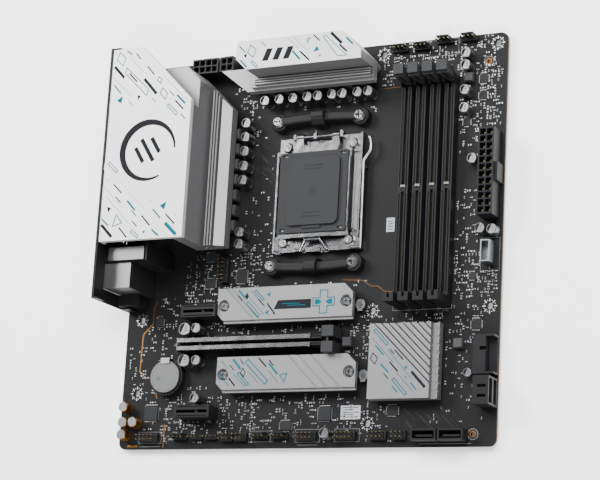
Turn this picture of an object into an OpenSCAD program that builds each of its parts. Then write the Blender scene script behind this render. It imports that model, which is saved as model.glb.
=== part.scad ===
/* [Board] */
// Width of the board, from the rear edge to the front edge
board_w = 243.84; // [243:0.02:300]
// Depth of the board, from the top edge to the bottom edge
board_d = 243.84; // [243:0.02:300]
// Thickness of the board
board_t = 1.6; // [1.2:0.1:2.4]
// Radius of the board's corners
board_corner_r = 4.5; // [1:0.5:8]
// Diameter of the mounting holes
mount_hole_d = 3.96; // [3.6:0.02:4.4]
// Diameter of the two tooling holes
tooling_hole_d = 2.4; // [1.5:0.1:3]

/* [Processor socket] */
// Spacing of the cooler screws across the board
cooler_pitch_x = 54; // [50:0.5:60]
// Spacing of the cooler screws along the board
cooler_pitch_y = 90; // [88:0.5:96]
// Spacing of the socket screws across the board
frame_pitch_x = 43.2; // [41:0.2:46]
// Spacing of the socket screws along the board
frame_pitch_y = 59.6; // [58:0.2:64]
// Side of the square processor that the socket takes
cpu_side = 40; // [35:0.5:42]
// Thickness of the backplate under the board
backplate_t = 2.4; // [1.6:0.1:4]
// Diameter of the backplate's posts
post_d = 5.6; // [5:0.1:6.5]
// Height of the cooler brackets' bosses
boss_h = 5.6; // [4:0.2:8]
// Thickness of the steel load plate
load_plate_t = 1; // [0.8:0.1:1.5]
// Diameter of the lever's wire
lever_d = 2; // [1.6:0.1:2.4]
// Length of the lever's long arm
lever_arm = 53; // [45:1:58]

/* [Memory slots] */
// Number of memory slots
dimm_count = 4; // [1:1:4]
// Distance from one memory slot to the next
dimm_pitch = 9.1; // [8:0.1:12]
// Length of a memory slot with its ends
dimm_len = 141.3; // [135:0.1:145]
// Height of a memory slot's body
dimm_h = 7; // [5:0.5:9]
// Height of the towers at both ends of a memory slot
dimm_tower_h = 21.7; // [16:0.1:26]

/* [Expansion slots] */
// Distance between neighbouring slot positions
slot_pitch = 20.32; // [20:0.01:21]
// Height of an expansion slot
slot_h = 11.2; // [9:0.1:13]
// Width of the slit that a card goes into
card_slit = 1.8; // [1.6:0.1:2.2]
// Length of the steel sleeve on the long slot
sleeve_len = 88.5; // [80:0.5:95]
// Width of the steel sleeve
sleeve_w = 7.3; // [7:0.1:9]

/* [Cooling] */
// Height of the rear cover over the board
cover_h = 42.5; // [40:0.5:46]
// Thickness of the rear cover's top
cover_t = 3.4; // [2:0.2:5]
// Height of the upper power heatsink over the board
vrm_h = 33; // [26:0.5:36]
// Height of the ribs on both power heatsinks
rib_h = 19; // [16:0.5:22]
// Height of the coils under the heatsinks
coil_h = 7; // [5:0.5:7.5]
// Top of the drive heatsinks over the board
m2_top = 9; // [8:0.1:12]
// Thickness of the drive heatsinks
m2_plate_t = 3.4; // [2.4:0.2:4]
// Side of the chipset heatsink
chipset_side = 42.6; // [36:0.2:48]
// Top of the chipset heatsink over the board
chipset_top = 10; // [8:0.5:14]

/* [Rear ports] */
// Height of the rear plate
shield_h = 44.6; // [43:0.1:46]
// Length of the rear plate
shield_len = 158.3; // [158:0.1:158.8]
// Thickness of the rear plate
shield_t = 0.8; // [0.5:0.1:1.2]
// Height of the tall port stacks
stack_h = 31.4; // [28:0.2:33]
// Depth of the port stacks behind the rear plate
stack_depth = 18.2; // [16:0.2:21]
// Diameter of an audio jack's bore
jack_bore_d = 3.6; // [3.5:0.05:3.8]
// Outer diameter of the threaded aerial posts
aerial_d = 6.2; // [5.8:0.1:6.4]
// Travel of the rear push button
button_travel = 0.8; // [0.4:0.1:1.2]

/* [Connectors] */
// Pitch of the power connectors' cells
power_pitch = 4.2; // [4:0.05:4.5]
// Side of one square power cell
power_cell = 3.4; // [3:0.1:3.7]
// Height of the power connectors
power_h = 12.8; // [11:0.2:15]
// Pitch of the pin headers
pin_pitch = 2.54; // [2:0.02:2.6]
// Thickness of a square header pin
pin_side = 0.64; // [0.5:0.02:0.8]
// Height of a header pin
pin_h = 8.4; // [7:0.1:10]

/* [Small parts] */
// Diameter of a round button cell
cell_d = 20; // [16:0.5:24]
// Thickness of a round button cell
cell_t = 3.2; // [2:0.1:4]
// Diameter of the common capacitor cans
can_d = 6.3; // [5:0.1:6.6]
// Height of the capacitors around the processor
can_h = 9.5; // [6:0.5:12]

/* [Clearances] */
// Radial gap around a pin that turns in a hole
running_gap = 0.1; // [0.05:0.01:0.1]
// Gap between pieces that move past each other
free_gap = 0.3; // [0.2:0.05:0.5]

/* [Hidden] */
$fn = 48;
cut = 0.5;

// The origin is the underside end of the standard mounting hole beside the rear ports.
datum_x = 10.16;
datum_y = 163.83;

// Standard mounting holes: x from the rear edge, y down from the top edge.
mount_holes = [[165.1, 6.35], [237.49, 6.35], [10.16, 29.21], [datum_x, datum_y],
    [165.1, 163.83], [237.49, 163.83], [10.16, 209.55], [165.1, 229.87]];
tooling_holes = [[232.2, 17.1], [229.9, board_d - 7]];

socket_x = 126.4;
socket_y = 90.2;
frame_x = socket_x + 1.2;
frame_y = socket_y + 1;
post_gap = 0.2;
screw_d = 3.4;
// How far a screw's tip stops short of the backplate's lower face.
screw_short = 0.4;
heat_screw_d = 2.8;
heat_screws = [[54, 40], [54, 117.6], [86.5, 8], [160.6, 14.5]];
boss_foot_d = 5.2;
chipset_screws = [[-17, 17], [17, -17]];
chipset_x = 189.6;
chipset_y = 195.6;

// Puts a piece on the board: x from the rear edge, y down from the top edge, z over the board.
module at(x, y, z = 0) translate([x - datum_x, datum_y - y, board_t + z]) children();

// A box between two corners, in board places: x from the rear edge, y up from a piece's own line.
module block(x0, x1, y0, y1, z0, z1) translate([x0, y0, z0]) cube([x1 - x0, y1 - y0, z1 - z0]);

// A box centred in x and y.
module pad(w, d, h) translate([-w / 2, -d / 2, 0]) cube([w, d, h]);

module rounded_slab(w, d, h, r) linear_extrude(h) {
    translate([r, 0]) square([w - 2 * r, d]);
    translate([0, r]) square([w, d - 2 * r]);
    for (x = [r, w - r], y = [r, d - r]) translate([x, y]) circle(r);
}

module rounded_pad(w, d, h, r) translate([-w / 2, -d / 2, 0]) rounded_slab(w, d, h, r);

module drill(d, h) translate([0, 0, -cut]) cylinder(d = d, h = h + 2 * cut);

module pairs(dx, dy) for (x = [-dx / 2, dx / 2], y = [-dy / 2, dy / 2]) translate([x, y]) children();

module rod_x(x0, x1, d) translate([x0, 0, 0]) rotate([0, 90, 0]) cylinder(d = d, h = x1 - x0);

module rod_y(y0, y1, d) translate([0, y0, 0]) rotate([-90, 0, 0]) cylinder(d = d, h = y1 - y0);

// A cross-head recess, cut down from its own origin.
module cross_recess(len, w, deep) {
    translate([0, 0, -deep]) pad(len, w, deep + cut);
    translate([0, 0, -deep]) pad(w, len, deep + cut);
}

// ---- Board and backplate ----

module circuit_board() color("#1b1c1f") difference() {
    at(0, board_d, -board_t) rounded_slab(board_w, board_d, board_t, board_corner_r);
    for (p = mount_holes) at(p[0], p[1], -board_t) drill(mount_hole_d, board_t);
    for (p = tooling_holes) at(p[0], p[1], -board_t) drill(tooling_hole_d, board_t);
    at(socket_x, socket_y, -board_t) pairs(cooler_pitch_x, cooler_pitch_y)
        drill(post_d + 2 * post_gap, board_t);
    at(frame_x, frame_y, -board_t) pairs(frame_pitch_x, frame_pitch_y)
        drill(post_d + 2 * post_gap, board_t);
    for (p = heat_screws) at(p[0], p[1], -board_t) drill(heat_screw_d + 2 * post_gap, board_t);
    for (p = chipset_screws) at(chipset_x + p[0], chipset_y - p[1], -board_t)
        drill(heat_screw_d + 2 * post_gap, board_t);
}

// Steel plate under the board. Its eight posts reach up through the board and take the screws.
backplate_margin = 6;
module cooler_backplate() color("#9a9da1") difference() {
    union() {
        at(socket_x, socket_y, -board_t - backplate_t)
            rounded_pad(cooler_pitch_x + 2 * backplate_margin, cooler_pitch_y + 2 * backplate_margin,
                backplate_t, backplate_margin);
        at(socket_x, socket_y, -board_t) pairs(cooler_pitch_x, cooler_pitch_y)
            cylinder(d = post_d, h = board_t);
        at(frame_x, frame_y, -board_t) pairs(frame_pitch_x, frame_pitch_y)
            cylinder(d = post_d, h = board_t);
    }
    at(socket_x, socket_y, -board_t - backplate_t) pad(20, 20, 2 * backplate_t);
    at(socket_x, socket_y, -board_t - backplate_t) pairs(cooler_pitch_x, cooler_pitch_y)
        drill(screw_d + running_gap, board_t + backplate_t);
    at(frame_x, frame_y, -board_t - backplate_t) pairs(frame_pitch_x, frame_pitch_y)
        drill(screw_d + running_gap, board_t + backplate_t);
}

// Black plastic bracket that a cooler's clip hooks on to. side is 1 above the socket, -1 below it.
bow_r = 260;
arm_w = 5.6;
arm_h = 6.6;
boss_d = 11;
hook_w = 8.8;
hook_out = 8.6;
hook_top = 10;
module cooler_bracket(side) color("#232426") at(socket_x, socket_y) scale([1, side, 1])
    translate([0, cooler_pitch_y / 2, 0]) difference() {
        union() {
            for (x = [-1, 1]) translate([x * cooler_pitch_x / 2, 0, 0]) cylinder(d = boss_d, h = boss_h);
            intersection() {
                translate([0, sqrt(bow_r * bow_r - pow(cooler_pitch_x / 2, 2)), 0]) difference() {
                    cylinder(r = bow_r + arm_w / 2, h = arm_h, $fn = 96);
                    translate([0, 0, -cut]) cylinder(r = bow_r - arm_w / 2, h = arm_h + 2 * cut, $fn = 96);
                }
                block(-cooler_pitch_x / 2, cooler_pitch_x / 2, -9, 5, 0, arm_h);
            }
            block(-hook_w / 2, hook_w / 2, -arm_w / 2 - 1, hook_out - 3.5, 2.4, hook_top - 2.2);
            block(-hook_w / 2, hook_w / 2, hook_out - 6, hook_out - 3.5, 0, hook_top);
        }
        for (x = [-1, 1]) translate([x * cooler_pitch_x / 2, 0, 0]) {
            drill(screw_d + 2 * post_gap, hook_top);
            translate([0, 0, boss_h]) cylinder(d = boss_d + 1, h = hook_top);
        }
    }
module cooler_bracket_upper() cooler_bracket(1);
module cooler_bracket_lower() cooler_bracket(-1);

// Cross-head screw: flat head with a rounded rim, plain shank.
module cross_screw(head_d, head_h, shank_d, shank_len) difference() {
    union() {
        cylinder(d = head_d, h = head_h * 0.5);
        translate([0, 0, head_h * 0.5]) cylinder(d1 = head_d, d2 = head_d * 0.7, h = head_h * 0.5);
        translate([0, 0, -shank_len]) cylinder(d = shank_d, h = shank_len);
    }
    translate([0, 0, head_h]) cross_recess(head_d * 0.55, head_d * 0.14, head_h * 0.6);
}

module cooler_screws() color("#c9cbcd") at(socket_x, socket_y, boss_h)
    pairs(cooler_pitch_x, cooler_pitch_y)
        cross_screw(7.6, 2.4, screw_d, boss_h + board_t + backplate_t - screw_short);

// ---- Processor socket ----

well_x = socket_x - 0.8;
well_y = socket_y + 0.1;
socket_floor = 1;
socket_wall_h = 3.6;
socket_w = cpu_side + 6.8;
socket_d = cpu_side + 10.4;
cpu_gap = 0.2;

module socket_body() color("#1e1f21") at(well_x, well_y) difference() {
    rounded_pad(socket_w, socket_d, socket_wall_h, 1.5);
    translate([0, 0, socket_floor]) pad(cpu_side + 2 * cpu_gap, cpu_side + 2 * cpu_gap, socket_wall_h);
    for (s = [-1, 1]) translate([0, s * (cpu_side / 2 + 4.6), socket_wall_h - 1.2]) pad(26, 3.4, 2);
    for (s = [-1, 1]) translate([s * (cpu_side / 2 + 1.6), 0, socket_wall_h - 1.2]) pad(1.6, 9, 2);
}

contact_t = 0.35;
module socket_contacts() color("#c8a862") at(well_x, well_y, socket_floor) difference() {
    pad(cpu_side - 3, cpu_side - 3, contact_t);
    translate([0, 0, -cut]) pad(9, 7, 2);
    for (x = [-14:4:14]) translate([x, 0, contact_t - 0.12]) pad(0.4, cpu_side, 1);
}

frame_w = 56;
frame_d = 72;
frame_t = 1.4;
corner_pad_h = 2.4;
hinge_y = frame_d / 2 - 0.6;
hinge_z = 3.8;
hinge_d = 2;
lever_y = -frame_d / 2 + 1.2;
lever_z = 3.2;
knuckle_d = 4.4;
knuckle_x = [-13, 10.7];
knuckle_w = 4.4;
rod_ends = [-17.6, 15.3];
lug_w = 1.8;
bearing_h = lever_z + lever_d / 2 + 1;

// Steel frame screwed round the socket, with the load plate's hinge rod and the lever's bearings.
module socket_frame() color("#b9bcbe") at(frame_x, frame_y) difference() {
    union() {
        pad(frame_w, frame_d, frame_t);
        pairs(frame_pitch_x, frame_pitch_y) pad(11, 9.4, corner_pad_h);
        block(-frame_w / 2, -frame_w / 2 + 1.2, -frame_d / 2, frame_d / 2 - 9, 0, 5.2);
        block(frame_w / 2 - 1.2, frame_w / 2, -frame_d / 2 + 8, frame_d / 2, 0, 4.4);
        block(frame_w / 2 - 4.6, frame_w / 2 - 3.8, -frame_d / 2 + 13, frame_d / 2 - 13, 0, 4.8);
        for (x = [rod_ends[0], -4.1, rod_ends[1] - lug_w])
            block(x, x + lug_w, hinge_y - 1.6, hinge_y + 1.8, 0, hinge_z + 1.9);
        translate([0, hinge_y, hinge_z]) rod_x(rod_ends[0], rod_ends[1], hinge_d);
        for (x = [[-23.6, -12.4], [9.2, 22.6]])
            block(x[0], x[1], lever_y - 1.2, lever_y + 1.6, 0, bearing_h);
        block(frame_w / 2, frame_w / 2 + 2.6, 14, 17, 0, 1.8);
        block(-6.4, 3.2, -frame_d / 2, -frame_d / 2 + 2.8, 0, 4.4);
    }
    at_well() pad(socket_w + 0.4, socket_d + 0.4, 20);
    translate([0, lever_y, lever_z]) rod_x(-frame_w, frame_w, lever_d + 2 * running_gap);
    pairs(frame_pitch_x, frame_pitch_y) drill(screw_d + 2 * post_gap, corner_pad_h);
}

// Moves from the frame's centre to the centre of the processor well.
module at_well() translate([well_x - frame_x, frame_y - well_y, -cut]) children();

module socket_screws() color("#a9a49c") at(frame_x, frame_y, corner_pad_h)
    pairs(frame_pitch_x, frame_pitch_y) difference() {
        union() {
            cylinder(d = 6.4, h = 1.2);
            translate([0, 0, 1.2]) cylinder(d1 = 6.4, d2 = 5, h = 1);
            translate([0, 0, -corner_pad_h - board_t - backplate_t + screw_short])
                cylinder(d = screw_d, h = corner_pad_h + board_t + backplate_t - screw_short);
        }
        translate([0, 0, 0.9]) cylinder(d = 3, h = 2, $fn = 6);
        translate([0, 0, 0.9]) rotate(30) cylinder(d = 3, h = 2, $fn = 6);
    }

plate_z = 4.7;
plate_top = plate_z + load_plate_t;
plate_w = 45.6;
plate_low = lever_y + 7.4;
plate_high = 25.6;
window_w = 31.4;
window_d = 39;

// Hinged steel plate that presses the processor down, with two arms rolled round the hinge rod.
module load_plate() color("#c3c6c8") at(frame_x, frame_y) difference() {
    union() {
        block(-plate_w / 2 - 1.4, plate_w / 2 - 1.4, plate_low, plate_high, plate_z, plate_top);
        block(plate_w / 2 - 2.2, plate_w / 2 - 1.4, plate_low + 5, plate_high - 5, plate_z, plate_top + 0.9);
        block(-15.8, 11.8, plate_low, plate_low + 1.2, plate_z, plate_top + 1);
        block(-17, 12, plate_high - 1, plate_high + 4.6, plate_z, plate_top);
        for (x = knuckle_x) {
            block(x - knuckle_w / 2, x + knuckle_w / 2, plate_high + 3, hinge_y, plate_z, plate_top);
            translate([0, hinge_y, hinge_z]) rod_x(x - knuckle_w / 2, x + knuckle_w / 2, knuckle_d);
        }
    }
    at_well() pad(window_w, window_d, 20);
    translate([0, hinge_y, hinge_z]) rod_x(-frame_w, frame_w, hinge_d + 2 * running_gap);
    block(-6.6, 1.6, plate_high + 2.2, plate_high + 8, 0, 9);
}

crank_in = 6;
crank_rise = 2;
crank_x = [-10.5, 7.2];
arm_x = frame_w / 2 + lever_d / 2 + free_gap;
crank_path = [[crank_x[0], 0, 0], [crank_x[0] + 4, crank_in, crank_rise],
    [crank_x[1] - 4, crank_in, crank_rise], [crank_x[1], 0, 0]];
arm_path = [[arm_x, 0, 0], [arm_x, lever_arm, 0.9], [arm_x + 4.6, lever_arm + 6, 1.6],
    [arm_x + 4.6, lever_arm + 9.5, 1.6], [arm_x + 3.4, lever_arm + 14, 1.6]];

// Round wire along a path, with rounded bends.
module wire(path, d) for (i = [0:len(path) - 2]) hull() {
    translate(path[i]) sphere(d = d, $fn = 20);
    translate(path[i + 1]) sphere(d = d, $fn = 20);
}

// Wire lever: straight axle, a crank beside the load plate's edge, and the long arm with its hook.
module socket_lever() color("#d2d4d5") at(frame_x, frame_y) translate([0, lever_y, lever_z]) {
    rod_x(-23.8, crank_x[0], lever_d);
    rod_x(crank_x[1], arm_x, lever_d);
    wire(crank_path, lever_d);
    wire(arm_path, lever_d);
}

cap_z = plate_top + 0.12;
cap_flange_t = 0.9;
cap_top = 8.2;
// Black plastic cap that covers the contacts until a processor is fitted.
module socket_cap() color("#2a2b2d") at(well_x, well_y) difference() {
    union() {
        translate([-0.4, -0.4, cap_z]) rounded_pad(45, 50, cap_flange_t, 1.2);
        translate([0, 0, cap_z]) rounded_pad(window_w + 3.3, window_d + 3.3, cap_top - cap_z, 4);
        translate([0, -window_d / 2 - 2.4, cap_z]) pad(12, 2.4, 1.6);
        for (s = [-1, 1]) translate([s * (window_w / 2 - 0.9), 0, cap_z - load_plate_t - 0.5])
            pad(1, 12, load_plate_t + 1);
    }
    translate([0, 0, cap_z - cut]) pad(window_w - 2.8, window_d - 1, cap_top - cap_z - 1.2 + cut);
    for (x = [-19.6, 18.6], y = [-23.4, 22.6]) translate([x, y, 0]) pad(3.2, 1.4, 20);
}

// ---- Memory slots ----

dimm_x = 183.8;
dimm_y = 92.7;
dimm_w = 6.4;
dimm_slit = 1.5;
dimm_key = -1.2;
dimm_end = 8.6;
latch_w = 4.4;
cheek_h = 10;
latch_pivot_y = dimm_len / 2 - 4.3;
latch_pivot_z = 3.2;
latch_pin_d = 2;

// Memory slot: long slit with one key, a fixed tower below and two cheeks for the latch above.
module dimm_slot(i) if (i <= dimm_count) color("#1d1e20")
    at(dimm_x + (i - 1) * dimm_pitch, dimm_y) difference() {
    union() {
        block(-dimm_w / 2, dimm_w / 2, -dimm_len / 2, dimm_len / 2 - dimm_end, 0, dimm_h);
        block(-dimm_w / 2, dimm_w / 2, -dimm_len / 2, -dimm_len / 2 + 5.3, 0, dimm_tower_h);
        block(-dimm_w / 2, dimm_w / 2, dimm_len / 2 - dimm_end, dimm_len / 2 - 2.6, 0, cheek_h);
    }
    difference() {
        block(-dimm_slit / 2, dimm_slit / 2, -dimm_len / 2 + 2.2, dimm_len / 2 - dimm_end + cut, 1.6, 30);
        block(-dimm_slit, dimm_slit, dimm_key - 0.8, dimm_key + 0.8, 0, dimm_h);
    }
    for (s = [-1, 1], e = [[-dimm_len / 2 + 7.4, dimm_key - 2.4],
            [dimm_key + 2.4, dimm_len / 2 - dimm_end - 2]])
        translate([s * (dimm_w / 2 - 1.1), 0, 0]) block(-0.35, 0.35, e[0], e[1], dimm_h - 0.7, dimm_h + cut);
    block(-1.9, 1.9, -dimm_len / 2 + 3.4, -dimm_len / 2 + 6, dimm_h + 6, dimm_tower_h - 3);
    block(-latch_w / 2 - 0.2, latch_w / 2 + 0.2, dimm_len / 2 - dimm_end, dimm_len / 2, 0.6, 30);
    translate([0, latch_pivot_y, latch_pivot_z]) rod_x(-dimm_w, dimm_w, latch_pin_d + 2 * running_gap);
}

// Latch that swings out at the top end and holds the module's edge.
module dimm_latch(i) if (i <= dimm_count) color("#3a3b3d")
    at(dimm_x + (i - 1) * dimm_pitch, dimm_y) difference() {
    union() {
        block(-latch_w / 2, latch_w / 2, dimm_len / 2 - 6.3, dimm_len / 2 - 2.2, 1.6, cheek_h + 2);
        block(-dimm_w / 2, dimm_w / 2, dimm_len / 2 - 6.3, dimm_len / 2, cheek_h + 0.6, dimm_tower_h - 2.4);
        block(-dimm_w / 2, dimm_w / 2, dimm_len / 2 - 5.2, dimm_len / 2, cheek_h + 0.6, dimm_tower_h);
        block(-dimm_w / 2, dimm_w / 2, dimm_len / 2 - 5.2, dimm_len / 2 + 1.1,
            dimm_tower_h - 1.6, dimm_tower_h);
        translate([0, latch_pivot_y, latch_pivot_z]) rod_x(-dimm_w / 2 + 0.1, dimm_w / 2 - 0.1, latch_pin_d);
    }
    block(-dimm_slit / 2, dimm_slit / 2, dimm_len / 2 - 7, dimm_len / 2 - 4.6, 7, dimm_tower_h - 3.4);
    for (z = [cheek_h + 3.4, cheek_h + 6.2])
        block(-dimm_w, dimm_w, dimm_len / 2 - 6.5, dimm_len / 2 - 5.9, z, z + 0.9);
}

module dimm_slot_1() dimm_slot(1);
module dimm_slot_2() dimm_slot(2);
module dimm_slot_3() dimm_slot(3);
module dimm_slot_4() dimm_slot(4);
module dimm_latch_1() dimm_latch(1);
module dimm_latch_2() dimm_latch(2);
module dimm_latch_3() dimm_latch(3);
module dimm_latch_4() dimm_latch(4);

// ---- Expansion slots ----

slot_x = 42.8;
slot_y = 182.1;
body_w = 6.1;
key_at = 14.5;
body_len = sleeve_len + 7;
fork_len = 7.6;
fork_w = 2.4;
latch_x = body_len + 4.6;
latch_z = 3.6;
latch_top = 13.8;

// A card slot with its slit along X: its length, its width and the length of its slit.
module card_slot(len, w, slit_len) difference() {
    block(0, len, -w / 2, w / 2, 0, slot_h);
    block(1.4, 1.4 + slit_len, -card_slit / 2, card_slit / 2, 2.2, slot_h + cut);
    for (y = [-1, 1]) translate([0, y * (w / 2 - 0.9), 0])
        block(1.8, 1 + slit_len, -0.3, 0.3, slot_h - 0.6, slot_h + cut);
}

module slot_key(key) block(key - 0.8, key + 0.8, -card_slit / 2, card_slit / 2, 2.2, slot_h - 1);

module graphics_slot() color("#18191b") at(slot_x, slot_y) {
    difference() {
        union() {
            card_slot(body_len, body_w, body_len - 1.4 + cut);
            block(body_len, body_len + fork_len, -fork_w / 2, fork_w / 2, 0, slot_h - 2.4);
        }
        translate([latch_x, 0, latch_z]) rod_y(-10, 10, 2 + 2 * running_gap);
    }
    slot_key(key_at);
}

// Steel sleeve that wraps the long slot and is soldered down at its feet.
sleeve_gap = 0.15;
sleeve_t = (sleeve_w - body_w) / 2 - sleeve_gap;
module graphics_sleeve() color("#c2c5c7") at(slot_x, slot_y) {
    for (s = [0, 1]) mirror([0, s, 0]) {
        block(-sleeve_t, sleeve_len, sleeve_w / 2 - sleeve_t, sleeve_w / 2, 0.8, slot_h + 0.55);
        block(-sleeve_t, sleeve_len, card_slit / 2 + 0.3, sleeve_w / 2, slot_h + 0.15, slot_h + 0.55);
        for (x = [4:16:sleeve_len - 4]) block(x, x + 3, sleeve_w / 2 - sleeve_t, sleeve_w / 2, 0, 0.8);
    }
    block(-sleeve_t - sleeve_gap, -sleeve_gap, -sleeve_w / 2 - 0.5, sleeve_w / 2 + 0.5, 0.8, slot_h + 0.55);
    for (s = [-1, 1]) translate([sleeve_len - 0.6, s * (sleeve_w / 2), 0])
        block(0, 0.6, -0.55, 0.55, 0.8, slot_h + 0.55);
}

// Two grey wings on one pin that lock a card's hook at the slot's front end.
module graphics_latch() color("#4a4b4e") at(slot_x + latch_x, slot_y) {
    for (s = [0, 1]) mirror([0, s, 0]) difference() {
        block(-3.4, 4, fork_w / 2 + free_gap, 7.9, 1.4, latch_top);
        block(-3.4 - cut, 1.4, 5, 8, 8.4, 11);
    }
    block(-0.5, 0.5, -fork_w / 2 - free_gap - cut, fork_w / 2 + free_gap + cut, slot_h - 1.6, latch_top - 1);
    translate([0, 0, latch_z]) rod_y(-fork_w / 2 - 1, fork_w / 2 + 1, 2);
}

short_len = 23.6;
short_rows = [slot_y - slot_pitch, slot_y + 2 * slot_pitch];
module short_slots() color("#1a1b1d") for (y = short_rows) at(slot_x + 0.6, y) {
    card_slot(short_len, sleeve_w, short_len - 2.8);
    slot_key(key_at);
}

// Rows of gold springs inside the slits of every card and memory slot.
module spring_row(x0, x1, z) for (s = [-1, 1]) translate([0, s * (card_slit / 2 - 0.16), 0])
    block(x0, x1, -0.16, 0.16, 2.2, z);
module slot_contacts() color("#c9a24a") {
    at(slot_x, slot_y) {
        spring_row(2.4, key_at - 1.6, slot_h - 3);
        spring_row(key_at + 1.6, sleeve_len, slot_h - 3);
    }
    for (y = short_rows) at(slot_x + 0.6, y) {
        spring_row(2.4, key_at - 1.6, slot_h - 3);
        spring_row(key_at + 1.6, short_len - 2, slot_h - 3);
    }
    for (i = [0:dimm_count - 1], s = [-1, 1]) at(dimm_x + i * dimm_pitch, dimm_y)
        translate([s * (dimm_slit / 2 - 0.12), 0, 0]) {
            block(-0.12, 0.12, -dimm_len / 2 + 8, dimm_key - 2, 1.6, dimm_h - 2);
            block(-0.12, 0.12, dimm_key + 2, dimm_len / 2 - dimm_end - 2, 1.6, dimm_h - 2);
        }
}

// ---- Heatsinks over the power stages ----

cover_x0 = 0.5;
cover_x1 = 58;
cover_y0 = 1;
cover_y1 = 123.4;
cover_cut = 36.4;
shelf_h = 33;
ridge_long = 48.8;
ridge_w = 3.6;
ridge_h = 0.5;
shelf_y = 13.3;
coil_x = 68.9;
coil_y = 22.2;
coil_gap = 1.4;
stage_x = 55.5;
stage_y = 11.8;
coil_rows = [for (i = [0:6]) 50.1 + i * 9.7];
coil_cols = [for (i = [0:6]) 92 + i * 10.5];
stage_h = 1;
pad_t = 1;
base_z = stage_h + pad_t;

// White metal cover over the rear ports, with one front corner cut off at 45 degrees.
module rear_cover() color("#dfe1e2") at(0, 0) {
    translate([0, 0, cover_h - cover_t]) linear_extrude(cover_t) polygon([
        [cover_x0, -cover_y1], [cover_x1, -cover_y1], [cover_x1, -cover_y0 - cover_cut],
        [cover_x1 - cover_cut, -cover_y0], [cover_x0, -cover_y0]]);
    translate([0, 0, cover_h]) linear_extrude(ridge_h) polygon([[cover_x0, ridge_long - cover_y1],
        [cover_x0, ridge_long - ridge_w - cover_y1], [cover_x0 + ridge_long - ridge_w, -cover_y1],
        [cover_x0 + ridge_long, -cover_y1]]);
    block(cover_x0, cover_x0 + 1.6, -cover_y1, -cover_y0, cover_h - cover_t - 3, cover_h);
    block(cover_x0, cover_x1 - cover_cut - 2, -cover_y0 - 1.6, -cover_y0, cover_h - cover_t - 12, cover_h);
}

// Aluminium block beside the rear ports: foot on the power stages, wall up to the cover, ribs.
wall_x = cover_x1;
front_x = 72;
strip_x = 66;
// The heatsink's inner corner is cut off along the line where down = x - corner_cut.
corner_cut = cover_x1 - cover_y0 - cover_cut + 14.8;
module rear_heatsink() color("#c9ccce") at(0, 0) intersection() {
    difference() {
        union() {
            block(wall_x - 8, wall_x, -cover_y1, 0, 8.5, shelf_h);
            block(wall_x - 8, wall_x, -cover_y1, -cover_y0 - cover_cut - 3, 8.5, cover_h - cover_t);
            translate([0, 0, shelf_h - 3.4]) linear_extrude(3.4) polygon([[wall_x - 8, -shelf_y],
                [cover_x1 - cover_cut + 12, -shelf_y], [wall_x - 8, -cover_y0 - cover_cut - 6]]);
            block(wall_x - 6, wall_x + 3.4, -coil_rows[6] - 4, -coil_rows[0] + 4, base_z, 9);
            for (i = [0, 1]) at_board(heat_screws[i]) cylinder(d = boss_foot_d, h = 9);
            block(wall_x - 8, front_x, -cover_y1, 0, coil_h + coil_gap, 12);
            for (x = [60:1.9:strip_x - 1]) block(x, x + 0.9, -cover_y1, 0, 12, rib_h);
            rotate([90, 0, 0]) linear_extrude(cover_y1) polygon([[strip_x, 9], [front_x, 9], [front_x, 15.3],
                [strip_x, 18]]);
        }
        for (i = [0, 1]) at_board(heat_screws[i]) thread_hole();
    }
    linear_extrude(cover_h + 1) polygon([[0, -cover_y1 - 1], [front_x + 1, -cover_y1 - 1],
        [front_x + 1, corner_cut - front_x - 1], [corner_cut + shelf_y, -shelf_y], [0, -shelf_y]]);
}
module at_board(p) translate([p[0], -p[1], 0]) children();
thread_deep = 7;
module thread_hole() translate([0, 0, -cut]) cylinder(d = heat_screw_d + running_gap, h = thread_deep + cut);

vrm_x0 = 81.7;
vrm_x1 = 164.6;
vrm_y0 = 0.7;
vrm_wall = 19.1;
vrm_front = 26.6;
vrm_strip = 24.4;
module upper_heatsink() color("#d9dbdc") at(0, 0) difference() {
    upper_block();
    for (i = [2, 3]) at_board(heat_screws[i]) thread_hole();
}
module upper_block() {
    for (i = [2, 3]) at_board(heat_screws[i]) cylinder(d = boss_foot_d, h = 9);
    translate([0, 0, 14]) linear_extrude(vrm_h - 14) polygon([[vrm_x0, -vrm_y0], [vrm_x1 - 13, -vrm_y0],
        [vrm_x1, -vrm_y0 - 13], [vrm_x1, -vrm_wall], [vrm_x0 + 7.2, -vrm_wall], [vrm_x0, -vrm_wall + 7.2]]);
    translate([0, 0, coil_h + coil_gap]) linear_extrude(14 - coil_h - coil_gap) polygon([
        [vrm_x0 - 20, -11.4], [vrm_x0 - 0.8, -vrm_front], [vrm_x1, -vrm_front], [vrm_x1, -vrm_y0 - 13],
        [vrm_x1 - 13, -vrm_y0], [vrm_x0, -vrm_y0], [vrm_x0, -11.4]]);
    for (y = [vrm_wall + 1.2:1.5:vrm_strip - 1]) block(vrm_x0 + 6, vrm_x1, -y - 0.8, -y, 13.9, rib_h);
    block(vrm_x0 + 3, vrm_x1, -vrm_strip - 0.8, -vrm_strip, 13.9, 17);
    block(vrm_x0 + 7, vrm_x1 - 8, -16.6, -7, base_z, 9);
}

// Screws driven from under the board into the heatsinks.
heat_head_t = 1.4;
module heatsink_screws() color("#8f9295") {
    for (p = heat_screws) at(p[0], p[1], -board_t) under_screw(thread_deep - 0.6 + board_t);
    for (p = chipset_screws) at(chipset_x + p[0], chipset_y - p[1], -board_t) under_screw(4 + board_t);
}
module under_screw(len) difference() {
    union() {
        translate([0, 0, -heat_head_t]) cylinder(d = 5.4, h = heat_head_t);
        cylinder(d = heat_screw_d, h = len);
    }
    translate([0, 0, -heat_head_t]) rotate([180, 0, 0]) cross_recess(3, 0.8, 0.8);
}

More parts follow.
